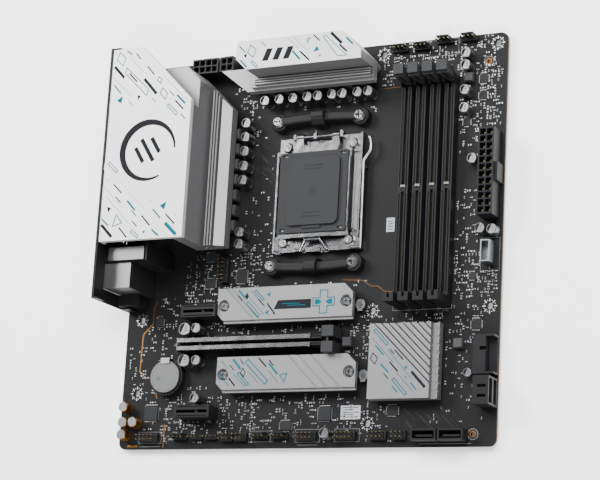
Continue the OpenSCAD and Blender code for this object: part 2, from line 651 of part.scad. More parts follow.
coil_beside_dimm = dimm_x + (dimm_count - 1) * dimm_pitch + 10.1;
module power_coils() color("#55575a") {
    for (y = coil_rows) at(coil_x, y) coil(8.8, 6.4, coil_h);
    for (x = coil_cols) at(x, coil_y) coil(6.4, 8.2, coil_h);
    for (p = [[coil_beside_dimm, 26.7], [151, 182.2], [220.2, 185.2]]) at(p[0], p[1]) coil(5.6, 5.6, 4);
}
module coil(w, d, h) {
    pad(w, d, h - 0.8);
    translate([0, 0, h - 0.8]) pad(w - 0.8, d - 0.8, 0.8);
}

module power_stages() color("#202124") {
    for (y = coil_rows) at(stage_x, y) pad(6, 5, stage_h);
    for (x = coil_cols) at(x, stage_y) pad(5, 6, stage_h);
}

// Soft grey pads: between power stages and heatsinks, under the drive heatsinks, on the chipset.
m2_under = m2_top - m2_plate_t;
m2_pad_t = 0.6;
m2_bays = [[67.3, 156.1, 159.1], [69.4, 160.1, 201]];
m2_d = 21.4;
chipset_h = 2;
chipset_pad_t = 0.5;
module thermal_pads() color("#8c9196") {
    at(stage_x, (coil_rows[0] + coil_rows[6]) / 2, stage_h) pad(5.6, 70, pad_t);
    at((coil_cols[0] + coil_cols[6]) / 2, stage_y, stage_h) pad(66, 5.6, pad_t);
    for (b = m2_bays) at((b[0] + b[1]) / 2 + 2, b[2], m2_under - m2_pad_t) pad(62, m2_d - 3, m2_pad_t);
    at(chipset_x, chipset_y, chipset_h) pad(18, 18, chipset_pad_t);
}

// ---- Drive bays ----

m2_inset = 4.2;
m2_screw_d = 2.5;
m2_chamfer = 5.6;

// White plate over a drive bay: two corners cut off, a stepped lower edge, screw recesses, ridges.
module drive_heatsink(b, grooves) color("#dcdee0") at(b[0], b[2]) {
    w = b[1] - b[0];
    difference() {
        union() {
            translate([0, 0, m2_under]) linear_extrude(m2_plate_t) polygon([[0, -m2_d / 2 + m2_chamfer],
                [m2_chamfer - 1.6, -m2_d / 2 + 1.6], [w, -m2_d / 2 + 1.6], [w, m2_d / 2 - m2_chamfer],
                [w - m2_chamfer, m2_d / 2], [0, m2_d / 2]]);
            block(m2_chamfer - 1.6, w, -m2_d / 2, -m2_d / 2 + 1.6, m2_under, m2_top - 1.3);
        }
        for (x = [m2_inset, w - m2_inset]) translate([x, 0, 0]) {
            translate([0, 0, m2_under]) drill(m2_screw_d + 0.3, m2_plate_t);
            translate([0, 0, m2_top - 1.6]) cylinder(d = 7.4, h = 2);
        }
        for (x = grooves) translate([x, 0, m2_top - 0.7])
            linear_extrude(1) polygon([[-12, 12], [-10.6, 12], [10.6, -9.2], [9.2, -9.2]]);
    }
}
module drive_heatsink_upper() drive_heatsink(m2_bays[0], [15.4, 19]);
module drive_heatsink_lower() drive_heatsink(m2_bays[1], [57, 63.4, 71.6]);

module drive_screws() color("#9ea1a4") for (b = m2_bays, x = [b[0] + m2_inset, b[1] - m2_inset])
    at(x, b[2], m2_top - 1.6) cross_screw(5.6, 1.5, m2_screw_d, m2_plate_t - 1.6 + 4);

clip_out = 2.6;
clip_stud_d = 2.4;
clip_z = 0.4;
clip_h = 3.4;
clip_y = 1.2;
module drive_standoffs() color("#c4c1b8") for (b = m2_bays) {
    for (x = [b[0] + m2_inset, b[1] - m2_inset]) at(x, b[2]) difference() {
        cylinder(d = 4.8, h = m2_under);
        translate([0, 0, 0.8]) cylinder(d = m2_screw_d + running_gap, h = m2_under);
    }
    at(b[1] + clip_out, b[2] + clip_y) {
        cylinder(d = clip_stud_d, h = clip_z + clip_h + 0.3);
        cylinder(d = 4, h = clip_z - 0.1);
    }
}

// Low connector that a drive plugs into, at the rear end of each bay.
m2_socket_x = 7;
module drive_sockets() color("#1a1b1d") for (b = m2_bays) at(b[0] + m2_socket_x, b[2]) difference() {
    block(0, 6.6, -11, 11, 0, 4.2);
    block(2.6, 7, -10.2, 10.2, 1.8, 3.2);
    block(4.4, 7, -10.2, 10.2, 1.8, 5);
}

// Small clip that turns on a stud: a neck for the notch in a drive's end, and a head with a nose.
clip_neck_d = 3.4;
clip_head_d = 6;
clip_nose = 4;
module drive_clip(b) color("#8d9093") at(b[1] + clip_out, b[2] + clip_y, clip_z) difference() {
    union() {
        cylinder(d = clip_neck_d, h = clip_h);
        translate([0, 0, clip_h - 1.2]) cylinder(d = clip_head_d, h = 1.2);
        block(-1.6, 1.6, -clip_nose, 0, clip_h - 1.2, clip_h);
    }
    drill(clip_stud_d + 2 * running_gap, clip_h);
    translate([0, 0, clip_h - 0.5]) difference() {
        cylinder(d = clip_head_d - 1.2, h = 2);
        translate([0, 0, -cut]) cylinder(d = clip_neck_d + 0.2, h = 3);
    }
}
module drive_clip_upper() drive_clip(m2_bays[0]);
module drive_clip_lower() drive_clip(m2_bays[1]);

// ---- Chipset ----

fin_step = 4.4;
strip_w = 4.6;
fin_line = chipset_side * 0.12;
module chipset_heatsink() color("#d2d5d7") at(chipset_x, chipset_y) difference() {
    union() {
        translate([0, 0, chipset_h + chipset_pad_t]) pad(chipset_side, chipset_side + 1.2, 3.5);
        block(-chipset_side / 2, chipset_side / 2 - strip_w, -chipset_side / 2 - 0.6, chipset_side / 2 + 0.6,
            chipset_h + chipset_pad_t, chipset_top);
        for (p = chipset_screws) translate([p[0], p[1], 0]) cylinder(d = boss_foot_d, h = chipset_h + 1);
        block(chipset_side / 2 - 0.9, chipset_side / 2, -chipset_side / 2 - 0.6, chipset_side / 2 + 0.6,
            chipset_h + chipset_pad_t, chipset_top - 1.6);
    }
    translate([0, 0, chipset_top - 3]) linear_extrude(5) for (i = [0:8])
        translate([fin_line + i * fin_step, 0]) polygon([[-32, 30], [-30.9, 30], [28.1, -29], [27, -29]]);
    for (p = chipset_screws) translate([p[0], p[1], -1])
        cylinder(d = heat_screw_d + running_gap, h = 5.6);
}

module chipset() color("#2b3a33") at(chipset_x, chipset_y) {
    pad(24, 24, 0.9);
    translate([0, 0, 0.9]) color("#3c3f43") pad(11, 11, chipset_h - 0.9);
}

// ---- Rear ports ----

plate_front = -1.2;
plate_drop = board_t;
port_gap = 0.25;
display_y = 12.8;
display_w = 17.2;
display_h = 17.6;
usb_a_y = 31;
usb_b_y = 49;
usb_w = 13.8;
button_y = 62.6;
button_z = 8;
button_d = 3.6;
audio_y = 84;
audio_w = 25;
audio_pitch_y = 12.4;
audio_pitch_z = 10.6;
radio_y = 129.5;
radio_w = 9.4;
lan_y = 142.3;
lan_w = 15.3;
optical_y = 153.5;
optical_w = 6.6;
optical_h = 12.4;
aerial_z = [11, 25];

// A port's outline as a hole through the rear plate: centre, width, height above the board.
module port_hole(y, w, h) at(plate_front - 5, y)
    block(0, 9, -w / 2 - port_gap, w / 2 + port_gap, -0.01, h + port_gap);

module rear_plate() color("#26272a") difference() {
    union() {
        at(plate_front, 0, -plate_drop) block(0, shield_t, -shield_len, 0, 0, shield_h);
        at(plate_front, 0, -plate_drop) block(0, 1.6, -shield_len, 0, shield_h - 0.8, shield_h);
        at(plate_front, 0, -plate_drop) block(0, 1.1, -shield_len, 0, 0, board_t - 0.4);
        at(plate_front, 0) block(0, 7, -0.6, 0, 34, shield_h - plate_drop);
        at(plate_front, shield_len) block(0, 7, 0, 0.8, 0, 9);
        at(plate_front, shield_len) block(0, 4, 0, 0.8, 34, shield_h - plate_drop);
    }
    port_hole(display_y, display_w, display_h);
    port_hole(usb_a_y, usb_w, stack_h);
    port_hole(usb_b_y, usb_w, stack_h);
    port_hole(audio_y, audio_w, 3 * audio_pitch_z);
    port_hole(lan_y, lan_w, stack_h);
    port_hole(optical_y, optical_w, optical_h);
    at(plate_front - 1, button_y, button_z) rod_x(0, 4, button_d + 2 * free_gap);
    for (z = aerial_z) at(plate_front - 1, radio_y, z) rod_x(0, 4, aerial_d + 2 * port_gap);
    for (y = [98:3:118], z = [8:4:30]) at(plate_front - 1, y, z) rod_x(0, 4, 2);
}

// Steel-shelled video ports, one over the other.
module display_ports() color("#aeb1b4") at(plate_front, display_y) difference() {
    block(0, stack_depth, -display_w / 2, display_w / 2, 0, display_h);
    block(-cut, 12, -8, 8, 2.2, 6.9);
    block(-cut, 12, -7.2, 7.2, 11, 15.6);
}

module usb_mouth(z) difference() {
    block(-cut, 13, -6.4, 6.4, z - 2.6, z + 2.6);
    block(2, 14, -5.6, 5.6, z + 0.2, z + 2);
}
module usb_stacks() color("#b4b7ba") {
    at(plate_front, usb_a_y) difference() {
        block(0, stack_depth, -usb_w / 2, usb_w / 2, 0, stack_h);
        for (z = [4.4, 11.6, 19.6, 26.8]) usb_mouth(z);
    }
    at(plate_front, usb_b_y) difference() {
        block(0, stack_depth, -usb_w / 2, usb_w / 2, 0, stack_h);
        for (z = [4.4, 12.6]) usb_mouth(z);
        block(-cut, 8, -3, 3, 21.3, 23.9);
        for (s = [-1, 1]) translate([-cut, s * 3, 22.6]) rod_x(0, 8 + cut, 2.6);
    }
}

module lan_port() color("#bfc2c4") at(plate_front, lan_y) difference() {
    block(0, stack_depth + 0.8, -lan_w / 2, lan_w / 2, 0, stack_h);
    usb_mouth(4.4);
    usb_mouth(11.2);
    block(-cut, 13.5, -5.9, 5.9, 17, 25.6);
    block(-cut, 13.5, -3.1, 3.1, 25, 28.4);
}

module audio_jacks() color("#222326") at(plate_front, audio_y) difference() {
    union() {
        block(0.8 + shield_t, stack_depth - 2, -audio_w / 2, audio_w / 2, 0, 3 * audio_pitch_z);
        for (s = [-1, 1], i = [0:2]) translate([0, s * audio_pitch_y / 2, (i + 0.5) * audio_pitch_z])
            rod_x(-0.6, 3, 8.4);
    }
    for (s = [-1, 1], i = [0:2]) translate([-1, s * audio_pitch_y / 2, (i + 0.5) * audio_pitch_z])
        rod_x(-cut, 15, jack_bore_d);
}

module optical_port() color("#1c1d1f") at(plate_front, optical_y) difference() {
    block(0, 15, -optical_w / 2, optical_w / 2, 0, optical_h);
    block(-cut, 8, -2.6, 2.6, 4.4, 9.6);
}

// Gold threaded posts that the aerials screw on to, each with a neck through the plate and a hex behind.
aerial_out = 9;
aerial_neck_d = aerial_d - 1.2;
aerial_bore_d = aerial_d - 1.6;
module aerial_posts() color("#c6a05a") for (z = aerial_z) at(plate_front, radio_y, z) difference() {
    union() {
        rod_x(-aerial_out, -free_gap, aerial_d);
        rod_x(-1, 2.2, aerial_neck_d);
        translate([shield_t, 0, 0]) rotate([0, 90, 0]) cylinder(d = 8.4, h = 1.4, $fn = 6);
    }
    translate([-cut, 0, 0]) rod_x(-aerial_out, -0.7, aerial_bore_d);
}

// Upright holder with the radio card inside and a silver label on top.
radio_x0 = 2.4;
radio_x1 = 30.4;
radio_h = 34;
module radio_module() color("#1f2023") at(0, radio_y) {
    block(radio_x0, radio_x1, -radio_w / 2, radio_w / 2, 0, radio_h - 2.4);
    color("#c4c6c8") block(radio_x0 + 0.6, radio_x1 - 2.6, -radio_w / 2 + 0.7, radio_w / 2 - 0.5,
        radio_h - 2.4, radio_h);
    block(radio_x1 - 1.2, radio_x1, -radio_w / 2, radio_w / 2, radio_h - 2.4, radio_h + 0.6);
}

// Push button that starts firmware flashing: a cap in a hole of the rear plate, a collar that holds
// it in, and a stem that slides in a bore of its switch.
collar_x = shield_t + free_gap;
collar_t = 0.8;
stem_d = 2.4;
stem_len = 3.1;
switch_x = collar_x + collar_t + button_travel + 0.7;
switch_w = 6.2;
module flash_button() color("#3c3e42") at(plate_front, button_y, button_z) {
    rod_x(-0.9, collar_x + collar_t, button_d);
    rod_x(collar_x, collar_x + collar_t, button_d + 1.6);
    rod_x(collar_x, collar_x + collar_t + stem_len, stem_d);
}
module button_switch() color("#1b1c1e") at(plate_front, button_y) difference() {
    block(switch_x, switch_x + 4.4, -switch_w / 2, switch_w / 2, 0, button_z + switch_w / 2);
    translate([0, 0, button_z])
        rod_x(0, collar_x + collar_t + stem_len + button_travel + free_gap, stem_d + 2 * running_gap);
}

// ---- Connectors ----

atx_x = board_w - 7;
atx_y = 87.2;
eps_y = 6.3;
eps_x = [[49.3, 4], [64.3, 2]];
power_margin = 0.6;

// Power socket: rows of square cells open at the top. cols run along X, rows along Y.
module power_socket(cols, rows) difference() {
    pad(cols * power_pitch + 2 * power_margin, rows * power_pitch + 2 * power_margin, power_h);
    for (i = [0:cols - 1], j = [0:rows - 1])
        translate([(i - (cols - 1) / 2) * power_pitch, (j - (rows - 1) / 2) * power_pitch, 2.6])
            pad(power_cell, power_cell, power_h);
}

module power_sockets() color("#1b1c1e") {
    at(atx_x, atx_y) {
        power_socket(2, 12);
        block(power_pitch + power_margin, power_pitch + power_margin + 1.6, -5.5, 5.5, 0, power_h - 2.6);
    }
    for (e = eps_x) at(e[0], eps_y) {
        power_socket(e[1], 2);
        block(-2.6, 2.6, power_pitch + power_margin, power_pitch + power_margin + 1.2, 0, power_h - 2.6);
    }
}

module power_pins() {
    at(atx_x, atx_y, 2.6) pin_grid(2, 12, power_pitch, 1, 7);
    for (e = eps_x) at(e[0], eps_y, 2.6) pin_grid(e[1], 2, power_pitch, 1, 7);
}

module pin_grid(cols, rows, pitch, side, h) for (i = [0:cols - 1], j = [0:rows - 1])
    translate([(i - (cols - 1) / 2) * pitch, (j - (rows - 1) / 2) * pitch, 0]) pad(side, side, h);

// Front USB sockets: an upright steel shell, and a lying shroud that opens at the front edge.
usb_c_x = board_w - 6.9;
usb_c_y = 133.6;
front_x0 = board_w - 12.9;
front_y = 192.7;
front_len = 22.5;
front_h = 7.4;
module front_usb_sockets() color("#1d1e20") {
    color("#b2b5b8") at(usb_c_x, usb_c_y) difference() {
        pad(5.6, 12.8, 9.6);
        translate([0, 0, 1.2]) pad(4.2, 11.4, 10);
    }
    at(front_x0, front_y) difference() {
        block(0, 12.7, -front_len / 2, front_len / 2, 0, front_h);
        block(7.6, 14, -front_len / 2 + 1.2, front_len / 2 - 1.2, 1.4, front_h + cut);
        block(4, 8, 2.2, 4.4, 4.4, front_h + cut);
    }
}

sata_x = board_w - 9.6;
sata_y = 214.2;
sata_len = 16.2;
sata_h = 14.8;
upright_sata = [203.2, 219.4];
upright_y = board_d - 6;
module sata_mouth(len) {
    difference() {
        pad(len - 2, 4.4, 20);
        translate([0, -0.5, -1]) pad(len - 5, 1.2, 6.4);
    }
}
module sata_sockets() color("#1a1b1d") {
    at(sata_x, sata_y) difference() {
        block(0, 9.4, -sata_len / 2, sata_len / 2, 0, sata_h);
        for (z = [1.6, 8.6]) difference() {
            block(2.4, 10, -sata_len / 2 + 1.2, sata_len / 2 - 1.2, z, z + 4.8);
            block(2, 8.4, -5, 4, z + 2.6, z + 3.6);
        }
        for (y = [-3.4, 2.2]) block(2.8, 8, y - 0.8, y + 0.8, sata_h - 1.6, sata_h + cut);
    }
    for (x = upright_sata) at(x, upright_y) difference() {
        pad(15.2, 6.6, 8.6);
        translate([0, 0, 1.4]) sata_mouth(15.2);
    }
}

// Pin headers: x from the rear edge, y down from the top edge, columns along X, rows along Y.
bottom_row = board_d - 6.6;
headers = [[21.6, bottom_row, 5, 2], [43.2, bottom_row, 4, 1], [54.6, bottom_row, 3, 1],
    [64.6, bottom_row, 3, 1], [75.4, bottom_row, 3, 2], [84.6, bottom_row, 3, 2],
    [97.6, bottom_row, 4, 1], [110.6, bottom_row, 4, 1], [127.4, bottom_row, 5, 2],
    [152.4, bottom_row, 5, 2], [173, bottom_row, 4, 2], [186.4, bottom_row, 3, 2],
    [176.2, 5.2, 4, 1], [190.4, 5.2, 4, 1], [205, 2.6, 4, 1], [220.4, 2.6, 4, 1], [66.6, 135.4, 2, 6]];
header_h = 2.6;
module header_bases() color("#191a1c") for (h = headers) at(h[0], h[1]) {
    pad(h[2] * pin_pitch, h[3] * pin_pitch, header_h);
    if (h[2] == 4 && h[3] == 1) translate([0, pin_pitch / 2 + 0.5, 0]) pad(pin_pitch * 3, 1, 7.4);
}
// The square pins of the headers and of the power sockets.
module connector_pins() color("#cbb47c") {
    power_pins();
    for (h = headers) at(h[0], h[1], header_h) pin_grid(h[2], h[3], pin_pitch, pin_side, pin_h - header_h);
}

// ---- Battery ----

battery_x = 32.3;
battery_y = 200.5;
cell_z = 3.1;
holder_wall = 1.2;
module battery_holder() color("#18191b") at(battery_x, battery_y) {
    difference() {
        cylinder(d = cell_d + 2 * holder_wall + 0.3, h = cell_z + 1.6, $fn = 72);
        translate([0, 0, cell_z]) cylinder(d = cell_d + 0.3, h = 9, $fn = 72);
        block(-4, 4, 8, 14, cell_z - 1, 20);
    }
    color("#c2c5c7") block(-3, 3, cell_d / 2 + 0.5, cell_d / 2 + 1.3, cell_z - 1, cell_z + cell_t + 0.9);
    color("#c2c5c7") block(-3, 3, cell_d / 2 - 2, cell_d / 2 + 1.3,
        cell_z + cell_t + 0.1, cell_z + cell_t + 0.9);
    color("#c2c5c7") block(-3, 3, cell_d / 2 - 3, cell_d / 2 + 1.3, cell_z - 1, cell_z - 0.3);
}
module battery_cell() color("#a6a8aa") at(battery_x, battery_y, cell_z) {
    cylinder(d = cell_d - 3, h = 0.6);
    translate([0, 0, 0.6]) cylinder(d = cell_d, h = cell_t - 0.9, $fn = 72);
    translate([0, 0, cell_t - 0.3]) cylinder(d1 = cell_d, d2 = cell_d - 0.6, h = 0.3, $fn = 72);
}

// ---- Capacitors and chips ----

// Each can: x, y down from the top edge, diameter, height.
row_y = 31.3;
row_x = [90.5, 100.4, 109.6, 119.2, 126.2, 135.6, 142.5, 152.4, 159.3];
side_x = 78.6;
side_y = [44.6, 53.5, 62.5, 71.9, 80.8, 113.5, 120.9];
beside_dimm = dimm_x + (dimm_count - 1) * dimm_pitch + 9.4;
beside_cell = battery_x + cell_d / 2 + 3.2;
loose_cans = [[beside_dimm, 12.9, can_d, 8], [beside_dimm, 20.4, can_d, 8], [beside_dimm, 35.7, can_d, 8],
    [beside_dimm, 46.8, can_d, 8], [board_w - 17.4, 77.8, can_d, 8], [232.3, 119.4, can_d, 7],
    [239.4, 120.4, can_d, 7],
    [44.6, 171.8, 8, 8], [52.3, 171.4, can_d, 8], [beside_cell, 191.1, 8, 8],
    [beside_cell + 8.1, 191.1, can_d, 8],
    [53.8, 214, can_d, 6.8], [141.5, board_d - 7.7, can_d, 8.5], [227.5, 202.7, can_d - 0.8, 6]];
audio_cans = [[5.1, 218.6], [5.4, 228], [12.4, 228], [5.1, 235.5]];

module can(d, h) rotate_extrude($fn = 40) polygon([[0, 0], [d / 2 - 0.3, 0], [d / 2, 0.3], [d / 2, 1],
    [d / 2 - 0.25, 1.3], [d / 2, 1.6], [d / 2, h - 0.4], [d / 2 - 0.4, h], [0, h]]);
module capacitors() color("#b8babd") {
    for (x = row_x) at(x, row_y) can(can_d, can_h);
    for (y = side_y) at(side_x, y) can(can_d, can_h);
    for (c = loose_cans) at(c[0], c[1]) can(c[2], c[3]);
    color("#b98a3c") for (c = audio_cans) at(c[0], c[1]) can(can_d, 7.5);
}

// Flat chip packages: x, y, width, depth, height.
packages = [[beside_dimm + 9.2, 27.4, 5.4, 6, 1], [beside_dimm + 8.9, 37.6, 5, 5.2, 1],
    [beside_dimm - 0.7, 53.2, 4.4, 5.2, 1],
    [230, 174, 6.2, 6.2, 1], [226.6, 145.8, 4.8, 4.4, 1], [138, 223.8, 8.2, 8.6, 1.2],
    [113, 230.6, 7.6, 6, 1.2], [77.8, 139, 7, 9, 1], [56.6, 142.6, 6.6, 6, 1], [56, 125.8, 7, 6, 1],
    [23, 165.2, 5, 6.4, 1.5], [21.6, 221.8, 9.4, 9.6, 1.4], [180.6, 222.6, 7, 6, 1]];
module chips() color("#242629") for (c = packages) at(c[0], c[1]) {
    pad(c[2], c[3], c[4] * 0.6);
    translate([0, 0, c[4] * 0.6]) pad(c[2] - 0.3, c[3] - 0.3, c[4] * 0.4);
}

circuit_board();
cooler_backplate();
cooler_bracket_upper();
cooler_bracket_lower();
cooler_screws();
socket_body();
socket_contacts();
socket_frame();
socket_screws();
load_plate();
socket_lever();
socket_cap();
dimm_slot_1();
dimm_slot_2();
dimm_slot_3();
dimm_slot_4();
dimm_latch_1();
dimm_latch_2();
dimm_latch_3();
dimm_latch_4();
graphics_slot();
graphics_sleeve();
graphics_latch();
short_slots();
slot_contacts();
rear_cover();
rear_heatsink();
upper_heatsink();
heatsink_screws();
power_coils();
power_stages();
thermal_pads();
drive_heatsink_upper();
drive_heatsink_lower();
drive_screws();
drive_standoffs();
drive_sockets();
drive_clip_upper();
drive_clip_lower();
chipset_heatsink();
chipset();
rear_plate();
display_ports();
usb_stacks();
lan_port();
audio_jacks();
aerial_posts();
radio_module();
flash_button();
optical_port();
button_switch();
power_sockets();
front_usb_sockets();
sata_sockets();
header_bases();
connector_pins();
battery_holder();
battery_cell();
capacitors();
chips();
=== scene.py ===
import math
import random

import bmesh
import bpy
from mathutils import Matrix, Vector
from mathutils.bvhtree import BVHTree


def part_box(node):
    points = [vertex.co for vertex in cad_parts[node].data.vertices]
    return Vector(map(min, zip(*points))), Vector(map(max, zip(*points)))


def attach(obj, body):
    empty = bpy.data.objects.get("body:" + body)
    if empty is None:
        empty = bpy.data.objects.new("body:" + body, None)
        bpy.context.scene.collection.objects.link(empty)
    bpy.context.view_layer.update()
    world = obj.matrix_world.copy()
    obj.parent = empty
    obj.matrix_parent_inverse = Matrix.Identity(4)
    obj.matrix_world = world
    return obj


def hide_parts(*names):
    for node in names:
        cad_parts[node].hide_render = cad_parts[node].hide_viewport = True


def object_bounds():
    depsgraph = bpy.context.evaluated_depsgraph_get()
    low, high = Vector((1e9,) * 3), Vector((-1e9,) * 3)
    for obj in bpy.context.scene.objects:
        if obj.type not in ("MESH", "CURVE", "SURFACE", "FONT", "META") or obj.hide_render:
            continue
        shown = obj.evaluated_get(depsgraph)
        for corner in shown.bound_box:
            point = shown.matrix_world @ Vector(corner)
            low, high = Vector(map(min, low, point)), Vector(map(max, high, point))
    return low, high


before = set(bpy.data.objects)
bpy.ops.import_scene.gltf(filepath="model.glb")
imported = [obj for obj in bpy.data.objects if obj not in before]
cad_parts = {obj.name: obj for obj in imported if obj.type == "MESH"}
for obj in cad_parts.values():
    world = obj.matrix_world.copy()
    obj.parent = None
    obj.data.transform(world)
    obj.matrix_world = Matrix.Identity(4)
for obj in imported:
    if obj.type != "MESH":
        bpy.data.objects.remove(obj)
cad_low, cad_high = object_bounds()

# ---- Camera, floor and lights ----
# The board lies on a plain pale table and is seen from above its front edge. Large soft lamps hang
# over it, the strongest one over the rear ports, so the metal faces that turn to the front are greyer.

MM = 0.001

camera_data = bpy.data.cameras.new("camera")
camera_data.sensor_width = 36
camera_data.lens = 114.35
camera_data.clip_start = 0.01
camera_data.clip_end = 20
camera = bpy.data.objects.new("camera", camera_data)
camera_axes = Matrix((
    (0.8999, 0.0549, 0.4326),
    (0.0548, 0.9699, -0.2373),
    (-0.4326, 0.2372, 0.8698)))
camera.matrix_world = Matrix.Translation((0.59944, -0.22571, 0.9953)) @ camera_axes.to_4x4()
bpy.context.scene.collection.objects.link(camera)
bpy.context.scene.camera = camera

floor_work = bmesh.new()
bmesh.ops.create_grid(floor_work, x_segments=2, y_segments=2, size=3)
bmesh.ops.translate(floor_work, verts=floor_work.verts, vec=(0.1, 0.04, cad_low.z - 0.0002))
floor_mesh = bpy.data.meshes.new("table")
floor_work.to_mesh(floor_mesh)
floor_work.free()
table = bpy.data.objects.new("table", floor_mesh)
bpy.context.scene.collection.objects.link(table)
table_paint = bpy.data.materials.new("pale_table")
table_paint.use_nodes = True
table_shader = table_paint.node_tree.nodes["Principled BSDF"]
table_shader.inputs["Base Color"].default_value = (0.97, 0.97, 0.97, 1)
table_shader.inputs["Roughness"].default_value = 0.9
table.data.materials.append(table_paint)

sky = bpy.data.worlds.new("studio")
bpy.context.scene.world = sky
sky.use_nodes = True
sky.node_tree.nodes["Background"].inputs["Color"].default_value = (0.95, 0.97, 1, 1)
sky.node_tree.nodes["Background"].inputs["Strength"].default_value = 0.3


def hang_lamp(name, place, aim, size, watts):
    """A square soft lamp that points at aim."""
    lamp = bpy.data.lights.new(name, "AREA")
    lamp.size = size
    lamp.energy = watts
    holder = bpy.data.objects.new(name, lamp)
    towards = (Vector(aim) - Vector(place)).to_track_quat("-Z", "Y")
    holder.matrix_world = Matrix.Translation(place) @ towards.to_matrix().to_4x4()
    bpy.context.scene.collection.objects.link(holder)


board_middle = (0.11, 0.04, 0)
hang_lamp("lamp_rear", (-0.95, 0.75, 1.05), board_middle, 0.7, 44)
hang_lamp("lamp_over", (0.45, 0.85, 1.35), board_middle, 1.2, 68)
hang_lamp("lamp_front", (0.5, -0.9, 1.2), board_middle, 0.9, 30)

# ---- Circuit board ----
# Glass-fibre laminate under a matt black solder mask. The mask shows the copper under it as a faint
# relief, and the sawn edge shows the tan of the bare laminate.


def finish(name, colour, metal, rough, grain=0.0006, tint=0.12, swing=0.08, relief=0.00001,
           edge=0.00012, stretch=(1, 1, 1), specular=0.1, wave=0, parts=()):
    """A worked surface. Mottled colour, uneven gloss, fine relief and softened edges. wave is the
    slow unevenness of pressed sheet. parts lists boxes of the same moulding that have another
    colour, metal and roughness."""
    made = bpy.data.materials.new(name)
    made.use_nodes = True
    nodes = made.node_tree.nodes
    links = made.node_tree.links
    shader = nodes["Principled BSDF"]
    place = nodes.new("ShaderNodeTexCoord")
    turn = nodes.new("ShaderNodeMapping")
    turn.inputs["Scale"].default_value = stretch
    links.new(place.outputs["Object"], turn.inputs["Vector"])
    fine = nodes.new("ShaderNodeTexNoise")
    fine.inputs["Scale"].default_value = 1 / grain
    fine.inputs["Detail"].default_value = 4
    links.new(turn.outputs["Vector"], fine.inputs["Vector"])
    broad = nodes.new("ShaderNodeTexNoise")
    broad.inputs["Scale"].default_value = 1 / (grain * 40)
    broad.inputs["Detail"].default_value = 3
    links.new(turn.outputs["Vector"], broad.inputs["Vector"])

    mottle = nodes.new("ShaderNodeMix")
    mottle.data_type = "RGBA"
    links.new(fine.outputs["Fac"], mottle.inputs[0])
    mottle.inputs[6].default_value = (*[c * (1 - tint) for c in colour], 1)
    mottle.inputs[7].default_value = (*[min(1, c * (1 + tint)) for c in colour], 1)
    shade = mottle.outputs[2]
    gloss = nodes.new("ShaderNodeMapRange")
    gloss.inputs["To Min"].default_value = max(0.03, rough - swing)
    gloss.inputs["To Max"].default_value = min(1, rough + swing)
    links.new(broad.outputs["Fac"], gloss.inputs["Value"])
    roughness = gloss.outputs["Result"]
    metallic = None
    if parts:
        corner = nodes.new("ShaderNodeSeparateXYZ")
        links.new(place.outputs["Object"], corner.inputs["Vector"])
    for low, high, part_colour, part_metal, part_rough in parts:
        inside = None
        for axis in range(3):
            for limit, side in ((low[axis], "GREATER_THAN"), (high[axis], "LESS_THAN")):
                if limit is None:
                    continue
                test = nodes.new("ShaderNodeMath")
                test.operation = side
                test.inputs[1].default_value = limit
                links.new(corner.outputs[axis], test.inputs[0])
                if inside is None:
                    inside = test.outputs[0]
                else:
                    both = nodes.new("ShaderNodeMath")
                    both.operation = "MULTIPLY"
                    links.new(inside, both.inputs[0])
                    links.new(test.outputs[0], both.inputs[1])
                    inside = both.outputs[0]
        pick = nodes.new("ShaderNodeMix")
        pick.data_type = "RGBA"
        links.new(inside, pick.inputs[0])
        links.new(shade, pick.inputs[6])
        pick.inputs[7].default_value = (*part_colour, 1)
        shade = pick.outputs[2]
        for kind, value in (("metal", part_metal), ("rough", part_rough)):
            blend = nodes.new("ShaderNodeMix")
            links.new(inside, blend.inputs[0])
            blend.inputs[3].default_value = value
            if kind == "rough":
                links.new(roughness, blend.inputs[2])
                roughness = blend.outputs[0]
            else:
                if metallic is None:
                    blend.inputs[2].default_value = metal
                else:
                    links.new(metallic, blend.inputs[2])
                metallic = blend.outputs[0]
    shader.inputs["Specular IOR Level"].default_value = specular
    links.new(shade, shader.inputs["Base Color"])
    links.new(roughness, shader.inputs["Roughness"])
    if metallic is None:
        shader.inputs["Metallic"].default_value = metal
    else:
        links.new(metallic, shader.inputs["Metallic"])
    bump = nodes.new("ShaderNodeBump")
    bump.inputs["Strength"].default_value = 0.6
    bump.inputs["Distance"].default_value = relief
    links.new(fine.outputs["Fac"], bump.inputs["Height"])
    if edge:
        soften = nodes.new("ShaderNodeBevel")
        soften.samples = 4
        soften.inputs["Radius"].default_value = edge
        links.new(soften.outputs["Normal"], bump.inputs["Normal"])
    if wave:
        dents = nodes.new("ShaderNodeTexNoise")
        dents.inputs["Scale"].default_value = 160
        dents.inputs["Detail"].default_value = 0
        links.new(place.outputs["Object"], dents.inputs["Vector"])
        bend = nodes.new("ShaderNodeBump")
        bend.inputs["Distance"].default_value = wave
        links.new(dents.outputs["Fac"], bend.inputs["Height"])
        links.new(bend.outputs["Normal"], bump.inputs["Normal"])
    links.new(bump.outputs["Normal"], shader.inputs["Normal"])
    return made


def dress(node, material):
    """Gives a CAD node's own slots a worked material."""
    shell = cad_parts[node]
    if not shell.material_slots:
        shell.data.materials.append(material)
    for slot in shell.material_slots:
        slot.material = material


